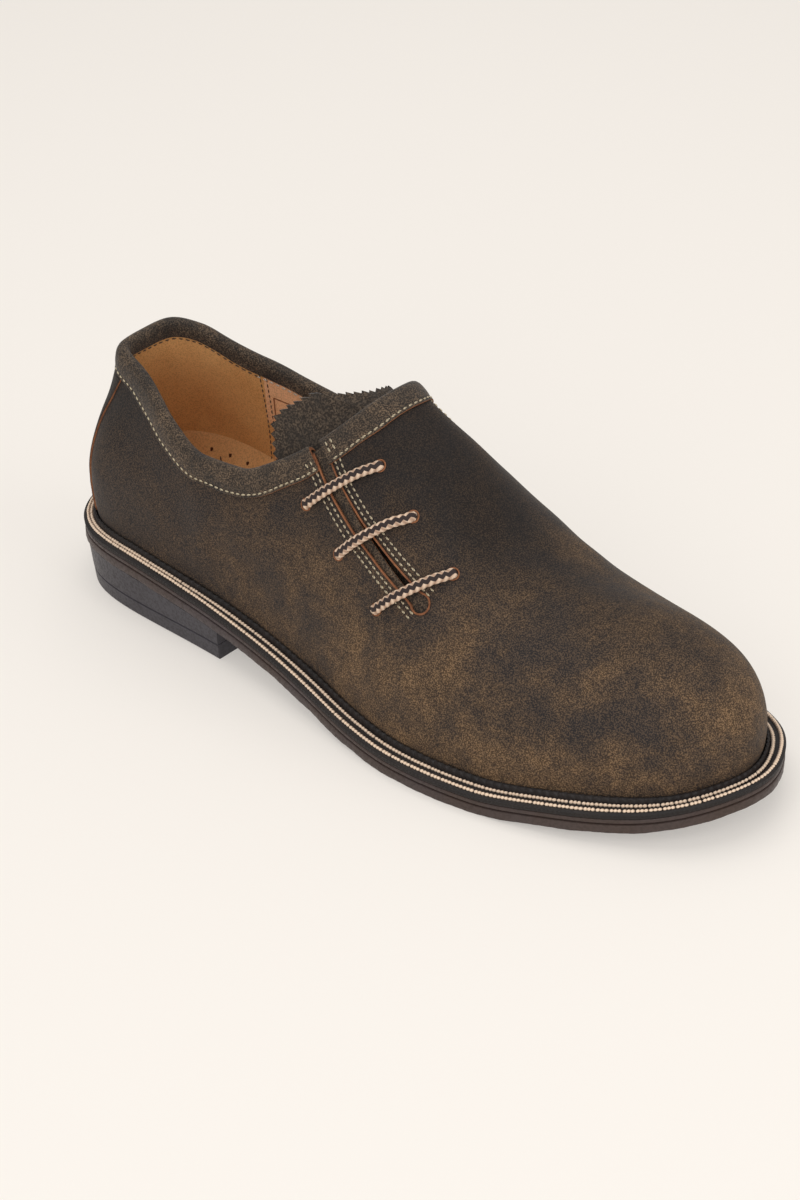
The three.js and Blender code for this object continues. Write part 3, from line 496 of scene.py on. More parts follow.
def colour(code):
    """A colour as seen on screen, such as 5a4631, in the linear values that nodes use."""
    channels = [int(code[i:i + 2], 16) / 255 for i in (0, 2, 4)]
    return tuple(c / 12.92 if c <= 0.04045 else ((c + 0.055) / 1.055) ** 2.4 for c in channels)


def new_group(name, inputs, outputs, kind="ShaderNodeTree"):
    """A node group, its inputs and its outputs, from rows of name, kind of socket and, if it has one, value."""
    group = bpy.data.node_groups.new(name, kind)
    for in_out, rows in (("INPUT", inputs), ("OUTPUT", outputs)):
        for label, socket_kind, *value in rows:
            socket = group.interface.new_socket(name=label, in_out=in_out,
                                                socket_type="NodeSocket" + socket_kind)
            if value:
                socket.default_value = value[0]
    return group, group.nodes.new("NodeGroupInput").outputs, group.nodes.new("NodeGroupOutput").inputs


print("node helpers ready")

# %% Shared groups: worn patches, and the nap of suede
patches, given, result = new_group("worn_patches", [
    ("Place", "Vector"), ("Patches per metre", "Float", 30.0), ("Softness", "Float", 0.2),
    ("Level", "Float", 0.5)], [("Mask", "Float")])
large = add(patches, "ShaderNodeTexNoise", Vector=given["Place"], Scale=given["Patches per metre"],
            Detail=4.0, Roughness=0.62, Distortion=0.4)
low, high = (math_node(patches, way, given["Level"], given["Softness"]) for way in ("SUBTRACT", "ADD"))
feed(patches, result["Mask"], eased(patches, large.outputs[0], low, high))

nap, given, result = new_group("suede_nap", [
    ("Place", "Vector"), ("Grains per metre", "Float", 1100.0), ("Pebbles per metre", "Float", 500.0)],
    [("Specks", "Float"), ("Height", "Float")])
fine = add(nap, "ShaderNodeTexNoise", Vector=given["Place"], Scale=given["Grains per metre"],
           Detail=2.0, Roughness=0.6, Distortion=0.2).outputs[0]
pebble = add(nap, "ShaderNodeTexVoronoi", {"feature": "SMOOTH_F1"}, Vector=given["Place"],
             Scale=given["Pebbles per metre"], Smoothness=0.6).outputs["Distance"]
feed(nap, result["Specks"], eased(nap, fine, 0.44, 0.62))
feed(nap, result["Height"], math_node(nap, "ADD", math_node(nap, "MULTIPLY", fine, 0.6),
                                      math_node(nap, "MULTIPLY", pebble, -0.7)))
print("groups:", [g.name for g in bpy.data.node_groups])

# %% Suede and leather materials
# width and heights, in metres, of the painted shade that darkens the crown of the upper
CROWN_SHADE_HALF_WIDTH, CROWN_SHADE_LOW, CROWN_SHADE_HIGH = 0.036, 0.046, 0.078
DARKER_NAP = (0.68, 0.66, 0.66)
GRIME = (0.02, 0.015, 0.01)


def worn_leather(name, size, softness, grains, pebble_share):
    """A new material with the place, the patches and the nap that every leather starts from."""
    material, tree, shader = new_material(name)
    place = object_place(tree)
    mottle = use_group(tree, patches, Place=place, Patches_per_metre=size, Softness=softness, Level=0.5)
    fuzz = use_group(tree, nap, Place=place, Grains_per_metre=grains, Pebbles_per_metre=grains * pebble_share)
    return material, tree, shader, place, mottle.outputs[0], fuzz.outputs["Specks"], fuzz.outputs["Height"]


def suede(name, charcoal, brown, fleck, size, grains, bump, fleck_share, sheen=0.1,
          along=None, rise=None, crown=0):
    """Waxed suede: charcoal with soft brown patches, and fine flecks that are strongest where it is brown.

    along and rise hold two places in metres and the share of brown at each; a share that falls with height paints
    shade towards the top, and crown is painted shade that darkens the top."""
    material, tree, shader, place, mottle, specks, height = worn_leather(name, size, 0.18, grains, 0.4)
    small = use_group(tree, patches, Place=place, Patches_per_metre=size * 5, Softness=0.2, Level=0.5)
    mask = math_node(tree, "MULTIPLY", mottle, math_node(tree, "MULTIPLY_ADD", small.outputs[0], 0.6, 0.4))
    axes = add(tree, "ShaderNodeSeparateXYZ", i0=place).outputs
    # a share of brown that falls with height along rise is painted shade towards the top
    for axis, span in (("X", along), ("Z", rise)):
        if span:
            mask = math_node(tree, "MULTIPLY", mask, eased(tree, axes[axis], *span))
    base = blend_colours(tree, mask, charcoal, brown)
    strength = math_node(tree, "MULTIPLY", math_node(tree, "MULTIPLY_ADD", mask, 0.75, 0.25), fleck_share)
    # painted shade over the crown: the top turns a deep charcoal and loses its flecks
    if crown:
        middle = eased(tree, math_node(tree, "ABSOLUTE", axes["Y"]), 0.006, CROWN_SHADE_HALF_WIDTH, crown, 0.0)
        top = math_node(tree, "MULTIPLY", middle, eased(tree, axes["Z"], CROWN_SHADE_LOW, CROWN_SHADE_HIGH))
        base = blend_colours(tree, top, base, tuple(v * 0.45 for v in charcoal))
        strength = math_node(tree, "MULTIPLY", strength, math_node(tree, "SUBTRACT", 1.0, top))
    darker = blend_colours(tree, 1.0, base, DARKER_NAP, "MULTIPLY")
    napped = blend_colours(tree, specks, darker, blend_colours(tree, strength, base, fleck))
    rough = add(tree, "ShaderNodeMapRange", Value=mottle, To_Min=0.6, To_Max=0.8).outputs[0]
    finish_shader(tree, shader, napped, bump, 0.0004, height, Roughness=rough, Specular_IOR_Level=0.17,
                  Sheen_Weight=sheen, Sheen_Roughness=0.5)
    return material


# the upper's brown share falls from 1.0 at 35 mm to 0.4 at 75 mm up, and 0.75 darkens its crown: both are painted
# shade at the top
UPPER_SUEDE = suede("upper_suede", colour("2b2829"), colour("574533"), colour("a0805f"), 34.0, 2300.0, 0.35,
                    0.62, 0.03, (-0.15, 0.05, 0.15, 1.15), (0.035, 0.075, 1.0, 0.4), 0.75)
BINDING_SUEDE = suede("binding_suede", colour("2e2a27"), colour("41372e"), colour("86705a"),
                      70.0, 2000.0, 0.5, 0.8)
TONGUE_SUEDE = suede("tongue_suede", colour("322c27"), colour("3d332a"), colour("6f5f4f"),
                     90.0, 1500.0, 0.9, 0.8, 0.15)


def plain_leather(name, base, other, size, roughness, bump, grains=900.0):
    """Smooth leather of two close shades, with a little grime in its nap."""
    material, tree, shader, _, mottle, specks, height = worn_leather(name, size, 0.25, grains, 0.6)
    shade = blend_colours(tree, math_node(tree, "MULTIPLY", specks, 0.25),
                          blend_colours(tree, mottle, base, other), GRIME)
    rough = add(tree, "ShaderNodeMapRange", Value=specks, To_Min=roughness, To_Max=min(roughness + 0.15, 1))
    finish_shader(tree, shader, shade, bump, 0.0005, height, Roughness=rough.outputs[0],
                  Specular_IOR_Level=0.35)
    return material


RAW_EDGE = plain_leather("raw_edge", colour("95613f"), colour("7a4b31"), 150.0, 0.8, 0.5)
LINING_FRONT = plain_leather("lining_front", colour("eab388"), colour("e0a87b"), 30.0, 0.55, 0.12, 1800.0)
LINING_HEEL = plain_leather("lining_heel", colour("dfab6f"), colour("cc9459"), 24.0, 0.7, 0.25, 1800.0)
WELT_BLACK = plain_leather("welt_black", colour("171415"), colour("231c1b"), 60.0, 0.5, 0.3, 1500.0)
SOLE_EDGE = plain_leather("sole_edge", colour("443a3b"), colour("44352e"), 22.0, 0.42, 0.15, 900.0)
HEEL_EDGE = plain_leather("heel_edge", colour("3d3a40"), colour("363238"), 20.0, 0.4, 0.12, 900.0)
TREAD = plain_leather("tread", colour("2f2b2d"), colour("39343a"), 90.0, 0.7, 0.4)
print("finishes:", [m.name for m in bpy.data.materials])


# %% Threads
def thread(name, light, dark, turns):
    """Twisted thread: a slant of its own colour and of painted shade, for the grooves between its plies, over its
    own length.
    """
    material, tree, shader = new_material(name)
    uv = add(tree, "ShaderNodeUVMap", {"uv_map": "UVMap"}).outputs[0]
    axes = add(tree, "ShaderNodeSeparateXYZ", i0=uv).outputs
    slant = math_node(tree, "ADD", math_node(tree, "MULTIPLY", axes[0], turns), axes[1])
    wave = math_node(tree, "PINGPONG", math_node(tree, "MULTIPLY", slant, 2.0), 1.0)
    # painted shade: the dark colour fills the grooves of the twist, where shade falls
    shade = ramp(tree, wave, [(0.12, dark), (0.5, light)])
    finish_shader(tree, shader, shade, 0.5, 0.0002, wave, Roughness=0.6, Sheen_Weight=0.2)
    return material


# the second colour of each thread is painted shade for the grooves between its plies
CREAM_THREAD = thread("cream_thread", colour("cfbf9f"), colour("6d6250"), 2.0)
DARK_THREAD = thread("dark_thread", colour("5a4128"), colour("2a1c12"), 2.0)
WHITE_THREAD = thread("white_thread", colour("e6dccb"), colour("8a7a68"), 2.0)
WELT_THREAD = thread("welt_thread", colour("ecd2b8"), colour("8a6f5c"), 1.0)
print("threads ready")

# %% [markdown]
# ## Sheets cut from the last
# A maker cuts flat leather and pulls it over the last. Here a fine grid over the surface is cut cleanly
# along the lines where a function of the place changes sign, such as the topline or the edge of the
# slot. The cut sheet gets an outer and an inner skin, and walls along its cut edges.

# %% A cut sheet and its shell
def spread_lines(low, high, place, step, dense=None):
    """Lines between two values, about one step apart along the curve that place gives.

    dense holds two values between which the lines are closer, and by how much."""
    fine_values = np.linspace(low, high, 600)
    lengths = np.linalg.norm(np.diff(place(fine_values), axis=0), axis=1)
    if dense:
        middle = (fine_values[1:] + fine_values[:-1]) / 2
        lengths = lengths * (1 + (dense[2] - 1) * ((middle > dense[0]) & (middle < dense[1])))
    total = np.r_[0, np.cumsum(lengths)]
    return np.interp(np.linspace(0, total[-1], max(int(total[-1] / step), 2) + 1), total, fine_values)


def both_sides(half):
    """Lines of girth from the lateral welt to the medial one, from those up to the crown."""
    return np.r_[half, (3 - half[:-1])[::-1]]


def cut_sheet(u_lines, girth_lines, keep):
    """Places (u, girth) and faces of the grid where keep(u, girth) > 0.

    A cell that the cut line crosses keeps its corners inside and gets new ones on the line."""
    u_grid, girth_grid = np.meshgrid(u_lines, girth_lines, indexing="ij")
    u_all, girth_all = u_grid.ravel(), girth_grid.ravel()
    value = keep(u_all, girth_all)
    cells = grid_faces(*u_grid.shape)
    inside = value[cells] > 0
    whole = cells[inside.all(1)]
    crossed = cells[inside.any(1) & ~inside.all(1)]
    pairs = np.sort(np.concatenate([crossed[:, [k, (k + 1) % 4]] for k in range(4)]), 1)
    pairs = np.unique(pairs[(value[pairs[:, 0]] > 0) != (value[pairs[:, 1]] > 0)], axis=0)
    a, b = pairs[:, 0], pairs[:, 1]
    low, high = np.zeros(len(a)), np.ones(len(a))
    for _ in range(11):
        middle = (low + high) / 2
        there = keep(u_all[a] + (u_all[b] - u_all[a]) * middle,
                     girth_all[a] + (girth_all[b] - girth_all[a]) * middle)
        same = (there > 0) == (value[a] > 0)
        low, high = np.where(same, middle, low), np.where(same, high, middle)
    share = np.clip((low + high) / 2, 0.03, 0.97)
    number = {pair: len(u_all) + k for k, pair in enumerate(map(tuple, pairs.tolist()))}
    u_all = np.r_[u_all, u_all[a] + (u_all[b] - u_all[a]) * share]
    girth_all = np.r_[girth_all, girth_all[a] + (girth_all[b] - girth_all[a]) * share]
    faces = [tuple(face) for face in whole.tolist()]
    for face in crossed.tolist():
        outline_of_cell = []
        for k in range(4):
            here, after = face[k], face[(k + 1) % 4]
            if value[here] > 0:
                outline_of_cell.append(here)
            if (value[here] > 0) != (value[after] > 0):
                outline_of_cell.append(number[(min(here, after), max(here, after))])
        if len(outline_of_cell) > 2:
            faces.append(tuple(outline_of_cell))
    used = np.unique(np.concatenate([np.array(face) for face in faces]))
    renumber = np.full(len(u_all), -1)
    renumber[used] = np.arange(len(used))
    return u_all[used], girth_all[used], [tuple(renumber[list(face)]) for face in faces]


def open_edges(faces, u):
    """Directed edges with a face on one side only, leaving out the joins at heel and toe."""
    count = {}
    for face in faces:
        for k in range(len(face)):
            pair = (face[k], face[(k + 1) % len(face)])
            count[pair] = count.get(pair, 0) + 1
    joined = np.isclose(u, 0) | np.isclose(u, TOE_RIB)
    return [(p, q) for (p, q) in count if (q, p) not in count and not (joined[p] and joined[q])]


EDGE_ROUND = 0.22


def shell(name, sheet, outside, inside, materials, edge_material=0):
    """A closed sheet between two heights over the last, with a slightly rounded outer edge."""
    u, girth, faces = sheet
    edges = open_edges(faces, u)
    on_edge = np.zeros(len(u), bool)
    on_edge[np.unique(np.array(edges))] = True
    skins = [lifted(u, girth, outside + 0 * u - EDGE_ROUND * on_edge), lifted(u, girth, inside + 0 * u)]
    n = len(u)
    all_faces = faces + [tuple(n + v for v in reversed(face)) for face in faces]
    all_faces += [(p, n + p, n + q, q) for p, q in edges]
    kind = [0] * (2 * len(faces)) + [edge_material] * len(edges)
    return new_piece(name, np.concatenate(skins), all_faces, materials, kind, sharp=50)


print("sheet helpers ready")

# %% Lines on the upper
# rows of (u, girth); a lace hole pair has its lower and its upper hole; a quarter row is a share along and up
SLOT_LINE = np.array([[5.5, 0.88], [5.83, 0.773], [6.18, 0.64], [6.67, 0.553], [7.22, 0.521], [8.0, 0.512]])
SLOT_HALF_WIDTH, SLOT_END_RADIUS = 2.6, 3.5
LACE_HOLES = np.array([[5.99, 0.527, 6.7, 0.76], [6.62, 0.437, 7.45, 0.7], [7.39, 0.388, 8.32, 0.677]])
LACE_HOLE_RADIUS = 1.9
QUARTER_EDGE = np.array([[0.47, 1.02], [0.5, 0.93], [0.508, 0.85], [0.5, 0.76], [0.478, 0.68], [0.43, 0.57],
                         [0.36, 0.43], [0.3, 0.335], [0.25, 0.28], [0.22, 0.2]])
LEATHER = 0.9


def smooth_path(rows, count):
    """A centripetal curve through rows of numbers, sampled evenly."""
    rows = np.asarray(rows, float)
    ends = np.concatenate([[2 * rows[0] - rows[1]], rows, [2 * rows[-1] - rows[-2]]])
    pieces = []
    for i in range(1, len(ends) - 2):
        p0, p1, p2, p3 = ends[i - 1:i + 3]
        gaps = [max(np.linalg.norm(b - a) ** 0.5, 1e-6) for a, b in ((p0, p1), (p1, p2), (p2, p3))]
        knots = np.cumsum([0] + gaps)
        t = np.linspace(knots[1], knots[2], 60, endpoint=False)[:, None]

        def between(low, high, start, end):
            span = knots[high] - knots[low]
            return (knots[high] - t) / span * start + (t - knots[low]) / span * end
        first, second, third = between(0, 1, p0, p1), between(1, 2, p1, p2), between(2, 3, p2, p3)
        pieces.append(between(1, 2, between(0, 2, first, second), between(1, 3, second, third)))
    curve = np.concatenate(pieces + [rows[-1:]])
    length = length_along(curve)
    even = np.linspace(0, length[-1], count)
    return np.stack([np.interp(even, length, curve[:, k]) for k in range(rows.shape[1])], 1)


def distance_to_path(points, path):
    """Shortest distance from each point to a line of points."""
    best = np.full(len(points), 1e9)
    for a, b in zip(path[:-1], path[1:]):
        along = b - a
        t = np.clip(((points - a) @ along) / (along @ along + 1e-12), 0, 1)
        best = np.minimum(best, np.linalg.norm(points - a - t[:, None] * along, axis=1))
    return best


slot_places = smooth_path(SLOT_LINE, 40)
slot_points = surface(slot_places[:, 0], slot_places[:, 1])
low_holes = surface(LACE_HOLES[:, 0], LACE_HOLES[:, 1])
high_holes = surface(LACE_HOLES[:, 2], LACE_HOLES[:, 3])
quarter_x = curve_through(QUARTER_EDGE[::-1, 1] * INSTEP_HEIGHT, QUARTER_EDGE[::-1, 0] * SOLE_LENGTH)


def below_topline(points, drop=BINDING_RISE):
    """How far points lie below a line under the topline."""
    return topline(points[:, 0], points[:, 1]) - drop - points[:, 2]


def outside_slot(points, half_width=SLOT_HALF_WIDTH):
    """Distance outside the slot, which is a band along its middle with a wider round end."""
    round_end = np.linalg.norm(points - slot_points[-1], axis=1) - SLOT_END_RADIUS
    return np.minimum(distance_to_path(points, slot_points), round_end + SLOT_HALF_WIDTH) - half_width


def beside_line(u, girth):
    """Distance from the slot's middle: positive towards the toe, negative towards the heel."""
    side = np.where(girth > np.interp(u, slot_places[:, 0], slot_places[:, 1]), 1.0, -1.0)
    return distance_to_path(surface(u, girth), slot_points) * side


def outside_holes(points):
    nearest = np.min([np.linalg.norm(points - hole, axis=1) for hole in (*low_holes, *high_holes)], axis=0)
    return nearest - LACE_HOLE_RADIUS


def before_quarter(points, girth):
    """Positive on the vamp and on the lateral side, which reach round the heel to under the back strip."""
    medial = np.maximum(points[:, 0] - quarter_x(points[:, 2]), 5 - points[:, 1])
    return np.where(girth > 1.5, medial, 10.0)


print("slot length, mm:", round(float(length_along(slot_points)[-1]), 1))

# %% [markdown]
# ## Creases and lie of the leather
# The shoe is new, so its leather is nearly smooth. A few soft troughs and ridges are placed one by one:
# where the forefoot bends, beside the slot, and under the low of the collar. A slow unevenness of a
# fifth of a millimetre keeps highlights from looking machined.

# %% Soft troughs and ridges
# from (u, girth) to (u, girth), half width in mm, height in mm (a trough is negative)
CREASES = np.array([
    [7.2, 0.25, 8.2, 0.62, 7.0, -0.45],
    [8.5, 0.3, 8.7, 0.85, 6.0, -0.4],
    [9.2, 0.25, 9.1, 0.8, 7.0, -0.35],
    [8.9, 0.3, 8.9, 0.8, 5.0, 0.3],
    [8.6, 2.75, 8.7, 2.2, 6.0, -0.4],
    [9.2, 2.75, 9.1, 2.25, 7.0, -0.35],
    [4.0, 0.5, 4.3, 0.15, 6.0, -0.4],
    [4.9, 0.45, 4.7, 0.12, 6.0, -0.45],
    [4.5, 0.45, 4.5, 0.15, 5.0, 0.3],
    [4.2, 2.5, 4.4, 2.8, 6.0, -0.4],
    [8.1, 0.5, 8.5, 0.48, 3.5, -0.5],
    [1.6, 0.6, 2.0, 0.3, 7.0, -0.35],
])
# beside the slot: height, distance from its middle and half width, in mm
SLOT_LIPS = ((0.35, 5.5, 3.0), (-0.3, 3.2, 1.3))


def lie(u, girth):
    """Height of the leather's outer face over the last."""
    points = surface(u, girth)
    x, y, z = points.T
    height = 0.12 * np.sin(x / 9 + z / 13) * np.sin(y / 11 - z / 7 + 1)
    height += 0.08 * np.sin(x / 5.3 + y / 4.1 + 2) * np.sin(z / 4.7 + 0.5)
    for u0, g0, u1, g1, width, rise in CREASES:
        path = surface(np.linspace(u0, u1, 6), np.linspace(g0, g1, 6))
        height += rise * np.exp(-(distance_to_path(points, path) / width) ** 2)
    near_slot = distance_to_path(points, slot_points)
    for rise, away, width in SLOT_LIPS:
        height += rise * np.exp(-((near_slot - away) / width) ** 2)
    return height


u_lines = spread_lines(0, TOE_RIB, lambda u: surface(u, 0.4 + 0 * u), 1.75, (5.5, 8.7, 1.35))
half_girth = spread_lines(0, 1.5, lambda g: surface(6.5 + 0 * g, g), 1.6)
girth_lines = both_sides(half_girth)
print("grid over the last:", len(u_lines), "by", len(girth_lines))

# %% Vamp with the lateral side, and the medial quarter
QUARTER_OVERLAP, QUARTER_GAP, TWO_LAYERS = 4.5, 0.05, 1.8


def vamp_keep(u, girth):
    points = surface(u, girth)
    return np.minimum.reduce([below_topline(points), outside_slot(points), outside_holes(points),
                              before_quarter(points, girth)])


def quarter_keep(u, girth):
    points = surface(u, girth)
    medial = np.minimum(quarter_x(points[:, 2]) + QUARTER_OVERLAP - points[:, 0], points[:, 1] - 2)
    return np.minimum(below_topline(points), np.where(girth > 1.5, medial, -5.0))


def upper_piece(name, sheet, over, under, material):
    """A cut sheet of leather between two heights over the upper's lie, with a raw edge."""
    height = lie(*sheet[:2])
    return shell(name, sheet, height + over, height + under, [material, RAW_EDGE], 1)


vamp = upper_piece("vamp", cut_sheet(u_lines, girth_lines, vamp_keep), 0, -LEATHER, UPPER_SUEDE)
quarter_u = spread_lines(0, 8.6, lambda v: surface(v, 2.6 + 0 * v), 2.2)
quarter_girth = spread_lines(1.5, 3, lambda g: surface(4 + 0 * g, g), 2.0)
medial_quarter = upper_piece("medial_quarter", cut_sheet(quarter_u, quarter_girth, quarter_keep),
                             -LEATHER - QUARTER_GAP, -TWO_LAYERS, UPPER_SUEDE)
report(vamp, medial_quarter)

# %% [markdown]
# ## Back strip and lining
# A narrow strip covers the back seam, from the welt to the binding. Inside, the lining is a lighter
# tan in front of its vertical seam and a rougher brown round the heel.

# %% Back strip and lining
LINING_SEAM_X = 59.5
STRIP_LOW, STRIP_HIGH = 23.5, 18.5
STRIP_LIFT, STRIP_GAP = 0.9, 0.05
LINING_TOP = 1.95


def strip_keep(u, girth):
    points = surface(u, girth)
    above_bead = points[:, 2] - seat(points[:, 0]) - 1.0
    half_width = np.interp(points[:, 2], [28, 88], [STRIP_LOW, STRIP_HIGH])
    return np.minimum.reduce([half_width - np.abs(points[:, 1]), below_topline(points, BINDING_RISE + 7.5),
                              above_bead, 45 - points[:, 0]])


def lining_keep(u, girth):
    points = surface(u, girth)
    return np.minimum.reduce([below_topline(points), outside_slot(points, 2.9), outside_holes(points)])


strip_girth = both_sides(spread_lines(0, 1.5, lambda g: surface(0.5 + 0 * g, g), 1.8))
back_strip = upper_piece("back_strip", cut_sheet(np.linspace(0, 2.6, 52), strip_girth, strip_keep),
                         STRIP_LIFT, STRIP_GAP, UPPER_SUEDE)
lining_u = spread_lines(0, TOE_RIB, lambda v: surface(v, 0.4 + 0 * v), 2.6)
lining_girth = both_sides(spread_lines(0, 1.5, lambda g: surface(6.5 + 0 * g, g), 2.6))
lining = shell("lining", cut_sheet(lining_u, lining_girth, lining_keep), -LINING_TOP, -UPPER_WALL,
               [LINING_FRONT, LINING_HEEL])
seam_x = (LINING_SEAM_X - CENTRE[0]) * MM
second_material(lining, "center", lambda centre: centre[:, 0] < seam_x)
report(back_strip, lining)

# %% [markdown]
# Under the slot's rear edge lies a strip of the same suede. It fills the slot at the top, leaves a dark
# gap towards the toe, and closes the slot's round end.

# %% Strip under the slot, and rims of the lace holes
def under_slot_keep(u, girth):
    points = surface(u, girth)
    from_middle = beside_line(u, girth)
    share = np.clip((u - 5.5) / 2.5, 0, 1)
    strip = np.minimum(3.2 - 4.0 * share ** 0.8 - from_middle, from_middle + 6.0)
    tab = SLOT_END_RADIUS + 1.6 - np.linalg.norm(points - slot_points[-1], axis=1)
    return np.minimum.reduce([np.maximum(strip, tab), below_topline(points, BINDING_RISE + 0.5),
                              outside_holes(points)])


slot_sheet = cut_sheet(np.linspace(5.2, 8.6, 90), np.linspace(0.36, 1.0, 90), under_slot_keep)
slot_strip = upper_piece("slot_strip", slot_sheet, -1.15, -1.75, BINDING_SUEDE)


def ring_mesh(name, centres, normals, radius, thickness, sides=28, tube=8):
    """Small raw rings lying on the leather, in one mesh."""
    points, faces = [], []
    for centre, normal in zip(centres, normals):
        across = unit(np.cross(normal, [0.3, 0.8, 0.1]))
        other = np.cross(normal, across)
        turn = np.arange(sides)[:, None] * 2 * np.pi / sides
        bend = np.arange(tube)[None, :] * 2 * np.pi / tube
        reach = radius + thickness * np.cos(bend)
        ring = (np.cos(turn) * reach)[..., None] * across + (np.sin(turn) * reach)[..., None] * other
        ring = ring + (thickness * np.sin(bend) + 0 * turn)[..., None] * normal + centre
        faces.append(grid_faces(sides, tube, True, True) + len(points) * sides * tube)
        points.append(ring.reshape(-1, 3))
    return closed_piece(name, np.concatenate(points), np.concatenate(faces), [RAW_EDGE])


hole_u, hole_girth = np.r_[LACE_HOLES[:, 0], LACE_HOLES[:, 2]], np.r_[LACE_HOLES[:, 1], LACE_HOLES[:, 3]]
hole_rims = ring_mesh("hole_rims", lifted(hole_u, hole_girth, lie(hole_u, hole_girth) - 0.15),
                      surface_normal(hole_u, hole_girth), LACE_HOLE_RADIUS + 0.12, 0.32)
report(slot_strip, hole_rims)

# %% Raw edge round the slot
def tangents(points, smooth=3):
    """Unit tangents of a line of points, evened out over a few neighbours."""
    along = np.gradient(points, axis=0)
    kernel = np.ones(smooth) / smooth
    padded = np.pad(along, ((smooth // 2,) * 2, (0, 0)), mode="edge")
    return unit(np.stack([np.convolve(padded[:, k], kernel, "valid") for k in range(3)], 1))


def slot_rim_path():
    """Down one side of the slot, round its end and up the other side, with the outward directions."""
    out = surface_normal(slot_places[:, 0], slot_places[:, 1])
    along = unit(tangents(slot_points))
    side = unit(np.cross(along, out))
    base = slot_points + out * (lie(slot_places[:, 0], slot_places[:, 1]) + 0.02)[:, None]
    reach = np.linalg.norm(slot_points - slot_points[-1], axis=1)
    into_end = math.sqrt(SLOT_END_RADIUS ** 2 - SLOT_HALF_WIDTH ** 2)
    keep = (below_topline(slot_points, 2.0) > 0) & (reach > into_end)
    opening = math.asin(SLOT_HALF_WIDTH / SLOT_END_RADIUS)
    angle = np.linspace(-math.pi + opening, math.pi - opening, 30)[1:-1, None]
    arc = base[-1] + SLOT_END_RADIUS * (np.cos(angle) * along[-1] + np.sin(angle) * side[-1])
    across = side[keep] * SLOT_HALF_WIDTH
    left, right = base[keep] - across, base[keep] + across
    return (np.concatenate([left, arc, right[::-1]]),
            np.concatenate([out[keep], np.tile(out[-1], (len(arc), 1)), out[keep][::-1]]))


def raw_lip(name, points, out, half_width, half_height, sides=8):
    """A thin rounded rim swept along points, closed at both ends."""
    across = unit(np.cross(tangents(points), out))
    bend = (np.arange(sides) * 2 * np.pi / sides)[None, :, None]
    rings = (points[:, None] + across[:, None] * (np.cos(bend) * half_width)
             + out[:, None] * (np.sin(bend) * half_height))
    last = (len(points) - 1) * sides
    faces = grid_faces(len(points), sides, False, True).tolist()
    faces += [list(range(sides))[::-1], list(range(last, last + sides))]
    return closed_piece(name, rings.reshape(-1, 3), faces, [RAW_EDGE])


slot_rim = raw_lip("slot_rim", *slot_rim_path(), 0.36, 0.28)
report(slot_rim)

# %% [markdown]
# ## Collar binding
# The topline is finished with a strip of soft suede folded over a thin pad. The rim of the cut upper is
# walked as a path over the last. From each step of it the band's profile goes down the outside, over
# the rim and down the inside, and small waves keep its sewn edges from looking machined.

# %% Walking over the last
def slide(u, girth, step):
    """Moves places over the surface by short vectors."""
    reach = 0.01
    along = (surface(u + reach, girth) - surface(u - reach, girth)) / (2 * reach)
    low, high = np.maximum(girth - reach, 0), np.minimum(girth + reach, 3)
    up = (surface(u, high) - surface(u, low)) / (high - low)[:, None]
    aa, ab, bb = (along * along).sum(1), (along * up).sum(1), (up * up).sum(1)
    da, db = (along * step).sum(1), (up * step).sum(1)
    size = aa * bb - ab * ab
    return u + (da * bb - db * ab) / size, girth + (db * aa - da * ab) / size


def walk(u, girth, direction, distance, stride=0.75):
    """Places a given distance off, starting in the given directions and staying on the surface."""
    count = max(1, math.ceil(abs(distance) / stride))
    for _ in range(count):
        normal = surface_normal(u, girth)
        level = unit(direction - normal * (direction * normal).sum(1)[:, None])
        u, girth = slide(u, girth, level * distance / count)
    return u, girth


def even_places(u, girth, spacing):
    """The same path over the surface in even steps, about a spacing long."""
    length = length_along(surface(u, girth))
    even = np.linspace(0, length[-1], max(int(length[-1] / spacing), 4) + 1)
    return np.interp(even, length, u), np.interp(even, length, girth)


def rim_path():
    """Places along the cut topline, from the slot back round the heel and over the instep."""
    low_u, low_girth, low_faces = cut_sheet(np.linspace(0, 8.5, 170), np.linspace(0.3, 2.7, 170),
                                            lambda a, b: below_topline(surface(a, b)))
    at_line = np.abs(below_topline(surface(low_u, low_girth))) < 1.5
    after = {p: q for p, q in open_edges(low_faces, low_u) if at_line[p] and at_line[q]}
    start = (set(after) - set(after.values())).pop()
    order = [start]
    while order[-1] in after:
        order.append(after[order[-1]])
    order = np.array(order)
    if low_girth[order[0]] > 1.5:
        order = order[::-1]
    points = surface(low_u[order], low_girth[order])
    first = int(np.linalg.norm(points - slot_points[1], axis=1).argmin())
    lateral, rest = order[:first + 1][::-1], order[first:][::-1]
    chain_u = np.r_[low_u[lateral], low_u[rest]]
    chain_girth = np.r_[low_girth[lateral], low_girth[rest]]
    same = np.r_[True, np.linalg.norm(np.diff(surface(chain_u, chain_girth), axis=0), axis=1) > 1e-3]
    return chain_u[same], chain_girth[same], len(lateral)


rim_u, rim_girth, heel_at = rim_path()
print("rim steps:", len(rim_u), "from", surface(rim_u[:1], rim_girth[:1]).round(0).tolist())

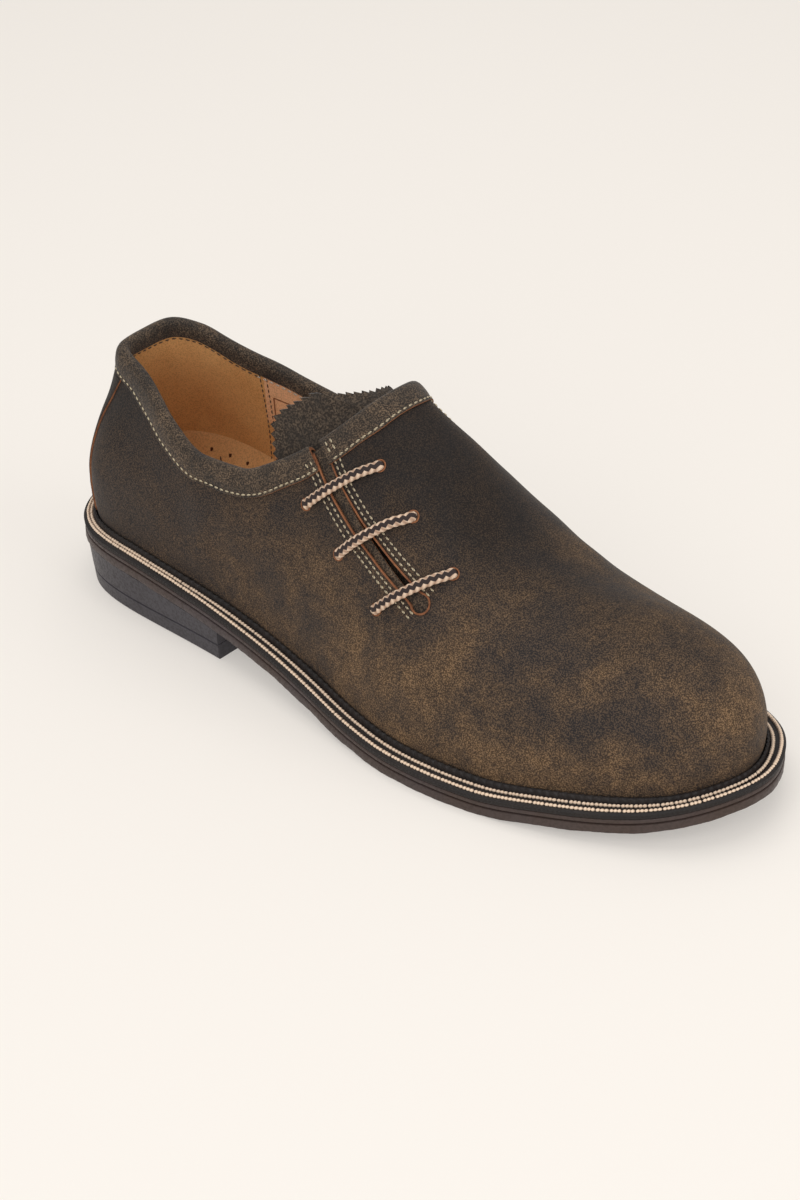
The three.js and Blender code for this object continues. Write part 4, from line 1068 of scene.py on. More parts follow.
# %% The folded band
# distance under the rim and height over the last: the outer side, over the rim, the inner side, and back
BAND_PROFILE = np.array([
    [7.5, 0.1], [7.8, 0.4], [7.7, 0.8], [7.3, 0.95], [6.7, 0.62], [6.0, 0.9], [4.7, 1.2], [3.1, 1.35],
    [1.3, 1.35], [-0.2, 1.15], [-1.4, 0.65], [-2.1, -0.1], [-2.35, -1.2], [-2.1, -2.35], [-1.3, -3.1],
    [0.0, -3.5], [1.2, -3.65], [2.3, -3.6], [3.1, -3.45], [3.7, -3.5], [4.2, -3.4], [4.5, -3.1],
    [4.2, -2.75], [2.4, -2.7], [-0.6, -2.6], [-1.1, -1.3], [-0.6, 0.05], [3.0, 0.1]])
BAND_STEP, BAND_OVERRUN, BAND_CLEAR = 0.9, 14.0, 2.75
BAND_WIDTH = BAND_PROFILE[0, 0]
OUTER_WAVE, INNER_WAVE, PUFF = 0.25, 0.5, 0.12


def doubled_ends(rim):
    """The rim with its two ends run on past each other, so that the band can be cut along the slot."""
    return np.r_[rim[-overrun - 1:-1], rim, rim[1:overrun + 1]]


# the rim is walked in two runs that meet behind the heel
halves = (slice(0, heel_at), slice(heel_at, None))
runs = [even_places(rim_u[half], rim_girth[half], BAND_STEP) for half in halves]
overrun = int(BAND_OVERRUN / BAND_STEP)
band_u, band_girth = (doubled_ends(np.concatenate(both)) for both in zip(*runs))
band_points = surface(band_u, band_girth)
band_down = unit(np.cross(surface_normal(band_u, band_girth), tangents(band_points, 5)))
band_down *= np.sign(-band_down[0, 2])
levels = np.arange(-3.0, 11.1, 0.75)
walked = [walk(band_u, band_girth, band_down, level) for level in levels]
band_rows, band_out, band_side = (np.array([reading(*places) for places in walked])
                                  for reading in (surface, surface_normal, beside_line))


def band_ends(distance):
    """Where the band starts and stops along the rim, a distance down, so that it is cut along the slot."""
    row = np.array([np.interp(distance, levels, band_side[:, i]) for i in range(len(band_u))])
    first_half, last = len(row) // 4, len(row) - 1
    behind = np.flatnonzero(row[:first_half] > -BAND_CLEAR).max()
    ahead = np.flatnonzero(row[-first_half:] < BAND_CLEAR).min() + len(row) - first_half
    start = behind + (row[behind] + BAND_CLEAR) / (row[behind] - row[behind + 1] + 1e-9)
    stop = ahead - (BAND_CLEAR - row[ahead]) / (row[ahead - 1] - row[ahead] + 1e-9)
    return np.clip(start, 0, last), np.clip(stop, 0, last)


def band_point(distance, offset):
    """Points beside the whole rim, a distance down and an offset out; both may vary along it."""
    i = np.arange(len(band_u))
    place = np.clip((distance + 0.0 * i - levels[0]) / (levels[1] - levels[0]), 0, len(levels) - 1.001)
    k, t = place.astype(int), (place % 1)[:, None]
    point, out = (rows[k, i] * (1 - t) + rows[k + 1, i] * t for rows in (band_rows, band_out))
    return point + unit(out) * (offset + 0.0 * i)[:, None]


def slow_waves(count, seed, longest=40, shortest=7):
    """Smooth uneven numbers between about -1 and 1 along a path of steps."""
    rng = np.random.default_rng(seed)
    place = np.arange(count)
    total = sum(np.sin(place * 2 * np.pi / rng.uniform(shortest, longest) + rng.uniform(0, 6.3))
                for _ in range(6))
    return total / 2.6


outer_wave, inner_wave, puff = (slow_waves(len(band_u), seed, 60, 14) for seed in (3, 4, 5))
profile_count = len(BAND_PROFILE)
rings = []
ring_count = len(band_u) - 2 * overrun
for distance, offset in BAND_PROFILE:
    share_down = np.clip(distance / BAND_WIDTH, 0, 1)
    wave = (OUTER_WAVE * outer_wave if offset > -1.3 else INNER_WAVE * inner_wave) * share_down
    swell = PUFF * puff * (1 if offset > 0.5 else -1 if offset < -2.9 else 0)
    column = band_point(distance + wave, offset + swell)
    start, stop = band_ends(distance)
    ends_pull = np.linspace(0, 1, ring_count)
    ease = np.clip(ends_pull * 12, 0, 1), np.clip((1 - ends_pull) * 12, 0, 1)
    place = np.where(ends_pull < 0.5, start + (overrun + ends_pull * (ring_count - 1) - start) * ease[0],
                     stop + (overrun + ends_pull * (ring_count - 1) - stop) * ease[1])
    rings.append(np.stack([np.interp(place, np.arange(len(band_u)), column[:, k]) for k in range(3)], 1))
rings = np.array(rings).transpose(1, 0, 2)
ends = np.arange(len(rings))
near_end = np.minimum(ends, ends[::-1])
closing = 1 - np.clip(1 - near_end / 2, 0, 1) ** 2 * 0.12
middle = rings.mean(1, keepdims=True)
rings = middle + (rings - middle) * closing[:, None, None]
point_count = len(rings) * profile_count
faces = grid_faces(len(rings), profile_count, False, True).tolist()
raw = [int(k % profile_count < 2) for k in range(len(faces))] + [1, 1]
faces += [range(profile_count), range(point_count - 1, point_count - profile_count - 1, -1)]
collar_band = closed_piece("collar_band", rings.reshape(-1, 3), faces, [BINDING_SUEDE, RAW_EDGE], raw,
                           sharp=60)
report(collar_band)

# %% [markdown]
# ## Tongue
# The tongue is a thick piece of raw suede under the slot. Its free edge is cut with pinking shears,
# which leaves small teeth, and it lies a little below the lining so that the laces run over it.

# %% Tongue with pinked edge
# girth, and the places round the ring of the tongue's back and front edge
TONGUE = np.array([
    [0.2, 6.5, 7.5], [0.3, 6.15, 7.9], [0.45, 5.75, 8.3], [0.62, 5.4, 8.7], [0.8, 5.3, 8.9], [1, 5.62, 9],
    [1.5, 6, 9], [2, 6.05, 9], [2.15, 6.1, 8.9], [2.3, 6.2, 8.6], [2.42, 6.5, 8.2]])
TONGUE_TOUCH = UPPER_WALL + 0.6
TONGUE_SINK, TONGUE_THICKNESS = 4.1, 1.8
TOOTH_PITCH, TOOTH_DEPTH, STEPS_A_TOOTH = 3.3, 1.1, 6
tongue_back = curve_through(TONGUE[:, 0], TONGUE[:, 1])
tongue_front = curve_through(TONGUE[:, 0], TONGUE[:, 2])
tongue_girth = spread_lines(TONGUE[0, 0], TONGUE[-1, 0], lambda g: surface(tongue_back(g), g),
                            TOOTH_PITCH / STEPS_A_TOOTH)
across_tongue = (tongue_girth - tongue_girth[0]) / (tongue_girth[-1] - tongue_girth[0])
tooth = np.abs((np.arange(len(tongue_girth)) / STEPS_A_TOOTH) % 1 - 0.5) * 2
along_steps = np.r_[0, np.linspace(0.02, 1, 26) ** 1.15]
grid_along, grid_girth = np.meshgrid(along_steps, tongue_girth, indexing="ij")
back_row, front_row = tongue_back(grid_girth), tongue_front(grid_girth)
step_mm = SOLE_LENGTH / TOE_RIB
cut_back = (tooth * TOOTH_DEPTH / step_mm)[None, :] * (1 - smoothstep(grid_along, 0, 0.1))
tongue_u = back_row + (front_row - back_row) * grid_along + cut_back
from_edge = np.minimum(np.minimum(across_tongue, 1 - across_tongue)[None, :], 1 - grid_along)
under_band = 2.1 * (1 - smoothstep(grid_along, 0.45, 0.65))
sink = np.maximum(under_band, TONGUE_SINK * smoothstep(from_edge, 0, 0.09))
ripple = 0.25 * np.sin(tongue_u * 9 + grid_girth * 5) * np.sin(grid_girth * 31 + 1)
flat_u, flat_girth = tongue_u.ravel(), grid_girth.ravel()
top_height = (-TONGUE_TOUCH - sink + ripple).ravel()
tongue_points = np.concatenate([lifted(flat_u, flat_girth, top_height - depth)
                                for depth in (0, TONGUE_THICKNESS)])
pinked_tongue = closed_piece("pinked_tongue", tongue_points, slab_faces(*grid_along.shape), [TONGUE_SUEDE])
report(pinked_tongue)

# %% [markdown]
# ## Sole
# Under the upper lies the storm welt, a flat strip sewn round the shoe with a raised bead against the
# leather. Below it are the midsole, the outsole and the heel. Each is swept round the outline of the
# last, with slightly rounded edges, and its two long edges are joined across the shoe.

# %% Rings round the outline
def outline_ring(spacing):
    """Places round the outline in even steps, symmetric in u so that the two sides can be joined."""
    fine = np.linspace(0, TOE_RIB, 900)
    length = length_along(edge(fine)[0])
    half_places = np.interp(np.linspace(0, length[-1], int(length[-1] / spacing) + 1), length, fine)
    return np.r_[half_places, (RING - half_places[1:-1])[::-1]]


def from_welt(u, share):
    """Places (u, girth) a share of the way up from the welt, on the side of the ring where u lies."""
    medial = u > TOE_RIB
    return np.where(medial, RING - u, u), np.where(medial, 3 - share, share)


def sole_plate(name, profile, materials, spacing, ragged=0.0):
    """profile(x) gives rows of (inset, height) from the top's inner line round the edge to the bottom's."""
    places = outline_ring(spacing)
    point, outward = edge(places)
    rows = profile(point[:, 0])
    waves = slow_waves(len(places), 7, 30, 4) * ragged
    sections = []
    for k, (inset, height) in enumerate(rows):
        spread = inset + (waves if k >= len(rows) / 2 else 0 * waves)
        sections.append(np.c_[point - outward * spread[:, None], np.broadcast_to(height, len(point))])
    sections = np.array(sections).transpose(1, 0, 2)
    n, m = sections.shape[:2]
    faces = grid_faces(n, m, True).tolist()
    for j in (0, m - 1):
        for i in range(n // 2):
            across = (i, i + 1, (n - i - 1) % n, (n - i) % n)
            faces.append([v * m + j for v in dict.fromkeys(across)])
    return closed_piece(name, sections.reshape(-1, 3), faces, materials, sharp=35)


def rounded_edge(top, bottom, inset, radius):
    """The profile of a plate whose two corners are rounded by a radius."""
    def profile(x):
        high, low = top(x), bottom(x)
        upper = [(3, 0), (radius, 0), (0.1, radius * 0.4), (0, radius)]
        return ([(inset + inwards, high - drop) for inwards, drop in upper]
                + [(inset + inwards, low + drop) for inwards, drop in upper[::-1]])
    return profile


midsole_profile = rounded_edge(midsole_top, lambda x: outsole_top(x) + LAYER_GAP, 0.35, 0.3)
midsole = sole_plate("midsole_layer", midsole_profile, [SOLE_EDGE], 2.0)
outsole_profile = rounded_edge(outsole_top, underside, 0.1, 0.45)
outsole = sole_plate("outsole_layer", outsole_profile, [SOLE_EDGE, TREAD], 1.0, 0.12)
second_material(outsole, "normal", lambda normal: normal[:, 2] < -0.9)
report(midsole, outsole)

# %% Storm welt
BEAD_WIDTH, BEAD_HEIGHT = 1.6, 2.5
KNURL_PITCH, STEPS_A_KNURL, STEPS_A_NOTCH = 1.5, 3, 6


def welt_mesh():
    """The welt with its notched bead and knurled rim, and where its seams find it."""
    places = outline_ring(KNURL_PITCH / STEPS_A_KNURL)
    n = len(places)
    point, outward = edge(places)
    foot_rise = np.linspace(0, 0.2, 24)
    feet = np.array([rib_surface(places, np.full(n, s)) for s in foot_rise])
    rises = feet[:, :, 2] - seat(feet[0, :, 0])

    def against_upper(height):
        share = np.array([np.interp(height, rises[:, i], foot_rise) for i in range(n)])
        return lifted(*from_welt(places, share), np.full(n, 0.45))

    def waves(steps):
        return 0.5 - 0.5 * np.cos(np.arange(n) * 2 * np.pi / steps)

    def out(distance, height):
        xy = foot[:, :2] + outward * np.broadcast_to(distance, n)[:, None]
        return np.c_[xy, foot_seat + height]

    foot, shoulder = against_upper(0.0), against_upper(BEAD_HEIGHT)
    foot_seat = seat(foot[:, 0])
    lean = np.linalg.norm((shoulder - foot)[:, :2], axis=1)
    flat = np.linalg.norm((point - foot[:, :2]), axis=1)
    notch, knurl = waves(STEPS_A_NOTCH) ** 3, waves(STEPS_A_KNURL)
    edge_z, low_z = seat(point[:, 0]) - foot_seat, margin(point[:, 0]) - foot_seat
    against_leather = [out(-0.5, low_z), out(-0.5, 0.3), shoulder - np.array([0, 0, 0.4]), shoulder]
    bead = [(lean + 0.3, BEAD_HEIGHT + 0.1 - 0.5 * notch), (lean + 0.8, BEAD_HEIGHT - 0.7 * notch),
            (BEAD_WIDTH * 0.82, BEAD_HEIGHT * 0.72 - 0.6 * notch),
            (BEAD_WIDTH * 0.98, BEAD_HEIGHT * 0.36 - 0.25 * notch),
            (BEAD_WIDTH * 1.03, 0.12), (BEAD_WIDTH * 1.15, 0.0)]
    rim = [(flat * 0.55 + BEAD_WIDTH * 0.5, 0.06 + edge_z * 0.5), (flat - 0.9, edge_z + 0.06),
           (flat - 0.35, edge_z - 0.05 - 0.16 * knurl), (flat + 0.05, edge_z - 0.4 - 0.1 * knurl),
           (flat - 0.1 - 0.22 * knurl, edge_z - 0.9), (flat - 0.05, low_z + 0.45), (flat - 0.35, low_z)]
    rows = against_leather + [out(*row) for row in bead + rim]
    sections = np.array(rows).transpose(1, 0, 2)
    piece = closed_piece("storm_welt", sections.reshape(-1, 3), grid_faces(n, len(rows), True, True),
                         [WELT_BLACK], sharp=55)
    return piece, foot, outward, flat


storm_welt, welt_foot, welt_outward, welt_flat = welt_mesh()
report(storm_welt)

# %% Heel
BREAST = 0.307 * SOLE_LENGTH
LIFT_THICKNESS, HEEL_TAPER, HEEL_STEPS = 6.0, 1.5, 90


def heel_piece(name, rows):
    """rows of inset, share of the taper and height(x), from the top down; cut square at the breast."""
    fine = np.linspace(-7, 7, 1400)
    inside = np.flatnonzero(edge(fine % RING)[0][:, 0] <= BREAST)
    shares = np.linspace(-1, 1, 2 * HEEL_STEPS + 1)
    places = np.where(shares < 0, -shares * fine[inside[0]], shares * fine[inside[-1]])
    point, outward = edge(places % RING)
    taper = HEEL_TAPER * (1 - point[:, 0] / BREAST)
    sections = []
    for inset, share, height in rows:
        xy = point - outward * (inset + taper * share)[:, None]
        xy[:, 0] = np.minimum(xy[:, 0], BREAST)
        xy[0, 0] = xy[-1, 0] = BREAST
        sections.append(np.c_[xy, height(xy[:, 0]) + 0 * taper])
    m, n = len(rows), len(places)
    faces = grid_faces(m, n).tolist()
    for j in (0, m - 1):
        for i in range(HEEL_STEPS):
            across = (i, i + 1, n - 2 - i, n - 1 - i)
            faces.append([j * n + v for v in dict.fromkeys(across)])
    faces += [(j * n, (j + 1) * n, (j + 1) * n + n - 1, j * n + n - 1) for j in range(m - 1)]
    return closed_piece(name, np.concatenate(sections), faces, [HEEL_EDGE], sharp=35)


LOWER_SHARE = 1 - LIFT_THICKNESS / HEEL_HEIGHT
heel_stack = heel_piece("heel_stack", [
    (1.1, 0, lambda x: underside(x) - 0.3),
    (0.75, 0, lambda x: underside(x) - 0.6),
    (0.75, LOWER_SHARE * 0.5, lambda x: (underside(x) + LIFT_THICKNESS) / 2),
    (0.75, LOWER_SHARE, lambda x: LIFT_THICKNESS + 0.55),
    (1.1, LOWER_SHARE, lambda x: LIFT_THICKNESS + 0.25)])
top_lift = heel_piece("top_lift", [
    (1.3, LOWER_SHARE, lambda x: LIFT_THICKNESS),
    (0.9, LOWER_SHARE, lambda x: LIFT_THICKNESS - 0.35),
    (0.9, 1, lambda x: 0.5),
    (1.4, 1, lambda x: 0)])
report(heel_stack, top_lift)

# %% [markdown]
# ## Insole and lining details
# The insole is a tan sheet with a slightly cupped edge. It is pierced with rows of small holes that let
# the foot breathe, drawn as small dark discs of painted shade, and a dashed seam crosses the heel seat.
# A bare patch is sewn to the lining, where shoes often carry a label; this one is left plain.

# %% Insole
INSOLE_THICKNESS, HEEL_CUP, FRONT_CUP = 3.5, 15.0, 0.8


def cup_rise(x):
    """How far the insole's edges stand above its middle: a deep cup at the heel, little further on."""
    return FRONT_CUP + HEEL_CUP * (1 - smoothstep(x, 60, 135))


def insole_height(x, share):
    """The insole's top, from one long edge (share 0) to the other (share 1)."""
    return margin(x) + INSOLE_THICKNESS + 0.15 + cup_rise(x) * np.abs(share * 2 - 1) ** 2.4


def insole_edge(places):
    """The insole's edge against the lining, at the height of its cup."""
    rises = np.linspace(0, 0.4, 40)
    walls = np.array([surface(*from_welt(places, s)) for s in rises])
    wanted = margin(walls[0, :, 0]) + INSOLE_THICKNESS + cup_rise(walls[0, :, 0])
    share = np.array([np.interp(wanted[i], walls[:, i, 2], rises) for i in range(len(places))])
    return lifted(*from_welt(places, share), np.full(len(places), -UPPER_WALL - 0.1))


insole_u = outline_ring(3.0)
insole_u = insole_u[:len(insole_u) // 2 + 1]
insole_lateral, insole_medial = insole_edge(insole_u), insole_edge(np.minimum(RING - insole_u, RING - 1e-6))


def build_insole():
    """Rows across the shoe between the two edges, with a wall round them."""
    shares = 0.5 - 0.5 * np.cos(np.linspace(0, np.pi, 29))
    across = shares[None, :, None]
    grid = insole_lateral[:, None, :2] * (1 - across) + insole_medial[:, None, :2] * across
    top = np.dstack([grid, insole_height(grid[..., 0], shares[None, :])])
    low = np.dstack([grid, margin(grid[..., 0]) + 0.1])
    low[:, [0, -1], 2] = top[:, [0, -1], 2] - 0.8
    points = np.concatenate([top.reshape(-1, 3), low.reshape(-1, 3)])
    return closed_piece("insole_sheet", points, slab_faces(*grid.shape[:2]), [INSOLE_TAN], sharp=45)


INSOLE_TAN = plain_leather("insole_tan", colour("dca973"), colour("d09b64"), 26.0, 0.45, 0.12, 1500.0)
insole_sheet = build_insole()
report(insole_sheet)

# %% [markdown]
# ## Laces
# The lace is a braided cord with pale edges and a dark zigzag along its middle. Its relief is in the
# mesh: the tube swells and narrows where the strands cross. It comes up through a hole, lies across the
# slot and goes down again, and two runs inside the shoe join the three bars.

# %% Lace
LACE_WIDTH, LACE_HEIGHT, BRAID_PITCH = 3.6, 2.6, 2.5
LACE_SIDES, LACE_STEP = 22, 0.32


def lace_route():
    """Points of the lace with the surface's normal at each, in one order from end to end."""
    rows = []

    def put(place, height, shift=0):
        u, girth = np.array(place)[:, None]
        normal = surface_normal(u, girth)[0]
        rows.append(np.r_[surface(u, girth)[0] + normal * height + shift, normal])

    def bar(start, end, arch):
        run = unit(surface(*end) - surface(*start))
        put(start, -UPPER_WALL - 1.2)
        put(start, 0.3)
        put(start, LACE_HEIGHT / 2 + 0.1, run * 2.4)
        for share, bow in ((0.25, 0.95), (0.5, 1.15), (0.75, 0.95)):
            put(start * (1 - share) + end * share, LACE_HEIGHT / 2 + arch * bow)
        put(end, LACE_HEIGHT / 2 + 0.1, run * -2.4)
        put(end, 0.3)
        put(end, -UPPER_WALL - 1.2)

    def inside(start, end):
        for share in (0.15, 0.5, 0.85):
            put(start * (1 - share) + end * share, -UPPER_WALL - 2.2)

    lower, upper = LACE_HOLES[:, :2], LACE_HOLES[:, 2:]
    bar(lower[0], upper[0], 0.75)
    inside(upper[0], upper[1])
    bar(upper[1], lower[1], 0.7)
    inside(lower[1], lower[2])
    bar(lower[2], upper[2], 0.65)
    return np.array(rows)


def build_lace():
    """The tube along the route: its width follows the strands, and its ends are rounded."""
    route = lace_route()
    total = np.linalg.norm(np.diff(smooth_path(route, 400)[:, :3], axis=0), axis=1).sum()
    centre, normal = np.split(smooth_path(route, int(total / LACE_STEP)), 2, axis=1)
    tangent = tangents(centre, 5)
    out = normal - tangent * (normal * tangent).sum(1)[:, None]
    for i in np.flatnonzero(np.linalg.norm(out, axis=1) < 0.35):
        out[i] = out[i - 1] - tangent[i] * (out[i - 1] @ tangent[i]) if i else out[i]
    out = unit(out)
    length = length_along(centre)
    turn = (np.arange(LACE_SIDES) * 2 * np.pi / LACE_SIDES)[None, :, None]
    across = (np.arange(LACE_SIDES) / LACE_SIDES + 0.5) % 1 - 0.5
    strand = np.sin(2 * np.pi * (length[:, None] / BRAID_PITCH + 2.2 * np.abs(across)[None, :]))
    ring = (np.cross(tangent, out)[:, None] * (np.sin(turn) * LACE_WIDTH / 2)
            + out[:, None] * (np.cos(turn) * LACE_HEIGHT / 2)) * (1 + 0.06 * strand)[..., None]
    ending = np.clip(np.minimum(length, length[-1] - length) / 1.5, 0, 1) ** 0.5
    points = centre[:, None] + ring * (0.25 + 0.75 * ending)[:, None, None]
    points = np.concatenate([points, points[:, :1]], 1)
    rows, columns = points.shape[:2]
    uv = np.stack(np.broadcast_arrays(length[:, None] * MM, np.arange(columns) / LACE_SIDES), -1)
    last = (rows - 1) * columns
    faces = grid_faces(rows, columns).tolist()
    faces += [range(LACE_SIDES), range(last + LACE_SIDES - 1, last - 1, -1)]
    print("lace length in all, mm:", round(float(total)))
    return closed_piece("braided_lace", points.reshape(-1, 3), faces, [BRAID], uv=uv.reshape(-1, 2),
                        sharp=60)


def braid_material():
    """Pale strands, painted darker as shade in the grooves between them, with a dark zigzag along the middle of
    the upper side.
    """
    material, tree, shader = new_material("lace_braid")
    split = add(tree, "ShaderNodeSeparateXYZ", Vector=add(tree, "ShaderNodeUVMap").outputs["UV"]).outputs
    half_pitch = BRAID_PITCH * MM / 2
    zig = math_node(tree, "MULTIPLY_ADD", math_node(tree, "PINGPONG", split["X"], half_pitch),
                    0.09 / half_pitch, -0.045)
    side = math_node(tree, "FRACT", math_node(tree, "ADD", split["Y"], 0.5))
    side = math_node(tree, "SUBTRACT", side, 0.5)
    away = math_node(tree, "ABSOLUTE", math_node(tree, "SUBTRACT", side, zig))
    dark = ramp(tree, away, [(0.072, (1, 1, 1)), (0.09, (0, 0, 0))])
    fibres = add(tree, "ShaderNodeTexNoise", Vector=object_place(tree), Scale=1600.0, Detail=3.0).outputs[0]
    turns = math_node(tree, "MULTIPLY_ADD", math_node(tree, "ABSOLUTE", side), 2.2,
                      math_node(tree, "DIVIDE", split["X"], BRAID_PITCH * MM))
    wave = math_node(tree, "SINE", math_node(tree, "MULTIPLY", turns, 2 * math.pi))
    # painted shade: the pale strands are darker in the grooves between them
    groove_shade = math_node(tree, "MULTIPLY_ADD", wave, 0.5, 0.5)
    pale = blend_colours(tree, groove_shade, colour("b08e76"), colour("ecd0b6"))
    pale = blend_colours(tree, math_node(tree, "MULTIPLY", fibres, 0.45), pale, colour("a58a76"))
    height = math_node(tree, "ADD", math_node(tree, "MULTIPLY", wave, 0.4), fibres)
    base = blend_colours(tree, dark, pale, colour("2a1d1b"))
    finish_shader(tree, shader, base, 0.5, 0.0002, height, Roughness=0.8)
    return material


BRAID = braid_material()
braided_lace = build_lace()
report(braided_lace)

# %% [markdown]
# ## Stitches
# Every seam is a row of small thread stitches. A row starts as a line of points on the leather that
# know which way is out. One Geometry Nodes tree spaces the stitches evenly along it, turns each to the
# seam and to the leather, varies them a little, and makes them real. The welt's thread is thick and
# twisted, so there each stitch is made of short slanted strands.

# %% The stitch trees
def made_real(tree, points, instance, material, result, **turned):
    """Ends a tree: an instance on every point, made real and given its material."""
    placed = add(tree, "GeometryNodeInstanceOnPoints", Points=points, Instance=instance, **turned)
    real = add(tree, "GeometryNodeRealizeInstances", Geometry=placed.outputs[0])
    dyed = add(tree, "GeometryNodeSetMaterial", Geometry=real.outputs[0], Material=material)
    feed(tree, result[0], dyed.outputs[0])


def stitch_tree(name, material, strands=1, tilt=0):
    """A tree that sews along a line of points with an attribute called out.

    Each stitch is a long ball, or a row of short slanted ones where it has several strands."""
    tree, given, result = new_group(name, [
        ("Path", "Geometry"), ("Pitch", "Float", 0.003), ("Stitch length", "Float", 0.002),
        ("Thread radius", "Float", 0.0003), ("Seed", "Int", 1)], [("Stitches", "Geometry")], "GeometryNodeTree")
    curve = add(tree, "GeometryNodeMeshToCurve", Mesh=given["Path"])
    spaced = add(tree, "GeometryNodeResampleCurve", {"mode": "LENGTH"}, Curve=curve.outputs[0],
                 Length=given["Pitch"])
    outward = add(tree, "GeometryNodeInputNamedAttribute", {"data_type": "FLOAT_VECTOR"}, Name="out")
    tangent = add(tree, "GeometryNodeInputTangent")
    along = add(tree, "FunctionNodeAlignRotationToVector", {"axis": "Z"}, Vector=tangent.outputs[0])
    facing = add(tree, "FunctionNodeAlignRotationToVector", {"axis": "X", "pivot_axis": "Z"},
                 Rotation=along.outputs[0], Vector=outward.outputs[0])
    ball = add(tree, "GeometryNodeMeshUVSphere", Segments=5, Rings=4, Radius=1.0)
    mapped = add(tree, "GeometryNodeStoreNamedAttribute", {"data_type": "FLOAT2", "domain": "CORNER"},
                 Geometry=ball.outputs["Mesh"], Name="UVMap", Value=ball.outputs["UV Map"])
    half_strand = math_node(tree, "DIVIDE", given["Stitch length"], 1.7 * strands if strands > 1 else 2.0)
    radius = given["Thread radius"]
    scale = add(tree, "ShaderNodeCombineXYZ", X=radius, Y=radius, Z=half_strand)
    shaped = add(tree, "GeometryNodeTransform", Geometry=mapped.outputs[0], Scale=scale.outputs[0])
    joined = add(tree, "GeometryNodeJoinGeometry")
    for k in range(strands):
        share = math_node(tree, "MULTIPLY", given["Stitch length"], (k - (strands - 1) / 2) / strands)
        shift = add(tree, "ShaderNodeCombineXYZ", Z=share)
        strand = add(tree, "GeometryNodeTransform", Geometry=shaped.outputs[0], Translation=shift.outputs[0],
                     Rotation=(tilt, 0, 0))
        feed(tree, joined.inputs[0], strand.outputs[0])
    vary = add(tree, "FunctionNodeRandomValue", {"data_type": "FLOAT_VECTOR"}, i0=(0.9, 0.9, 0.88),
               i1=(1.1, 1.1, 1.08), Seed=given["Seed"])
    made_real(tree, spaced.outputs[0], joined.outputs[0], material, result, Rotation=facing.outputs[0],
              Scale=vary.outputs[0])
    return tree


SEAM_TREE = stitch_tree("seam_cream", CREAM_THREAD)
DARK_TREE = stitch_tree("seam_dark", DARK_THREAD)
WHITE_TREE = stitch_tree("seam_white", WHITE_THREAD)
WELT_TREE = stitch_tree("seam_welt", WELT_THREAD, 3, 0.42)
# for each kind of seam: its tree, and pitch, length of a stitch and radius of the thread in mm
UPPER_STITCH = (SEAM_TREE, 2.35, 1.75, 0.34)
COLLAR_STITCH = (SEAM_TREE, 2.5, 1.85, 0.36)
FRONT_STITCH, HEEL_STITCH = (WHITE_TREE, 2.6, 1.8, 0.3), (DARK_TREE, 2.6, 1.8, 0.3)
LINING_STITCH = (DARK_TREE, 2.3, 1.7, 0.28)
WELT_STITCH = (WELT_TREE, 4.3, 4.2, 0.7)
INSOLE_STITCH = (DARK_TREE, 3.4, 2.4, 0.35)


def grown(name, points, tree, settings, out=None):
    """The real mesh that a tree makes of points in millimetres, joined to a line where they have an out."""
    mesh = bpy.data.meshes.new(name)
    line = [] if out is None else [(i, i + 1) for i in range(len(points) - 1)]
    mesh.from_pydata(to_frame(points).tolist(), line, [])
    if out is not None:
        attribute = mesh.attributes.new("out", "FLOAT_VECTOR", "POINT")
        attribute.data.foreach_set("vector", np.asarray(out, np.float32).ravel())
    start = new_object(name + "_start", mesh)
    modifier = start.modifiers.new("growing", "NODES")
    modifier.node_group = tree
    for item in tree.interface.items_tree:
        if item.in_out == "INPUT" and item.name in settings:
            modifier[item.identifier] = settings[item.name]
    evaluated = start.evaluated_get(bpy.context.evaluated_depsgraph_get())
    piece = new_object(name, bpy.data.meshes.new_from_object(evaluated))
    bpy.data.objects.remove(start)
    return piece


def sew(name, points, out, tree, pitch, length, radius, seed):
    """A row of stitches along points in millimetres; out holds the outward direction at each."""
    sewn = grown(name, points, tree, {"Pitch": pitch * MM, "Stitch length": length * MM,
                                      "Thread radius": radius * MM, "Seed": seed}, out)
    sewn.data.polygons.foreach_set("use_smooth", np.ones(len(sewn.data.polygons), bool))
    report(sewn)
    return sewn


def on_leather(places, height):
    """Points a millimetre apart over the leather, and the outward directions.

    height gives the height over the last at places (u, girth)."""
    u, girth = even_places(*places, 1.0)
    return lifted(u, girth, height(u, girth) + 0 * u), surface_normal(u, girth)


# %% Seams of the upper
def u_where(function, girth, low=0.0, high=9.0):
    """For each girth, the first u at which a function of points turns positive."""
    u_line = np.linspace(low, high, 600)
    values = function(surface(u_line[:, None], girth[None, :]))
    crossing = np.argmax(values > 0, axis=0)
    a, b = np.maximum(crossing - 1, 0), crossing
    va, vb = (np.take_along_axis(values, rows[None], 0)[0] for rows in (a, b))
    return u_line[a] + (u_line[b] - u_line[a]) * np.clip(-va / (vb - va + 1e-12), 0, 1)


def beside_slot(distance, start_drop):
    """Places beside the slot: positive distances on the front flap, negative on the rear one."""
    u, girth = slot_places[:, 0], slot_places[:, 1]
    points = surface(u, girth)
    side = unit(np.cross(tangents(points), surface_normal(u, girth)))
    side *= np.sign(side[0, 0])
    moved_u, moved_girth = walk(u, girth, side * np.sign(distance), SLOT_HALF_WIDTH + abs(distance))
    below = below_topline(surface(moved_u, moved_girth), BINDING_RISE + start_drop) > 0
    return moved_u[below], moved_girth[below]


STITCH_LIFT = 0.12


def over_leather(u, girth):
    return lie(u, girth) + STITCH_LIFT


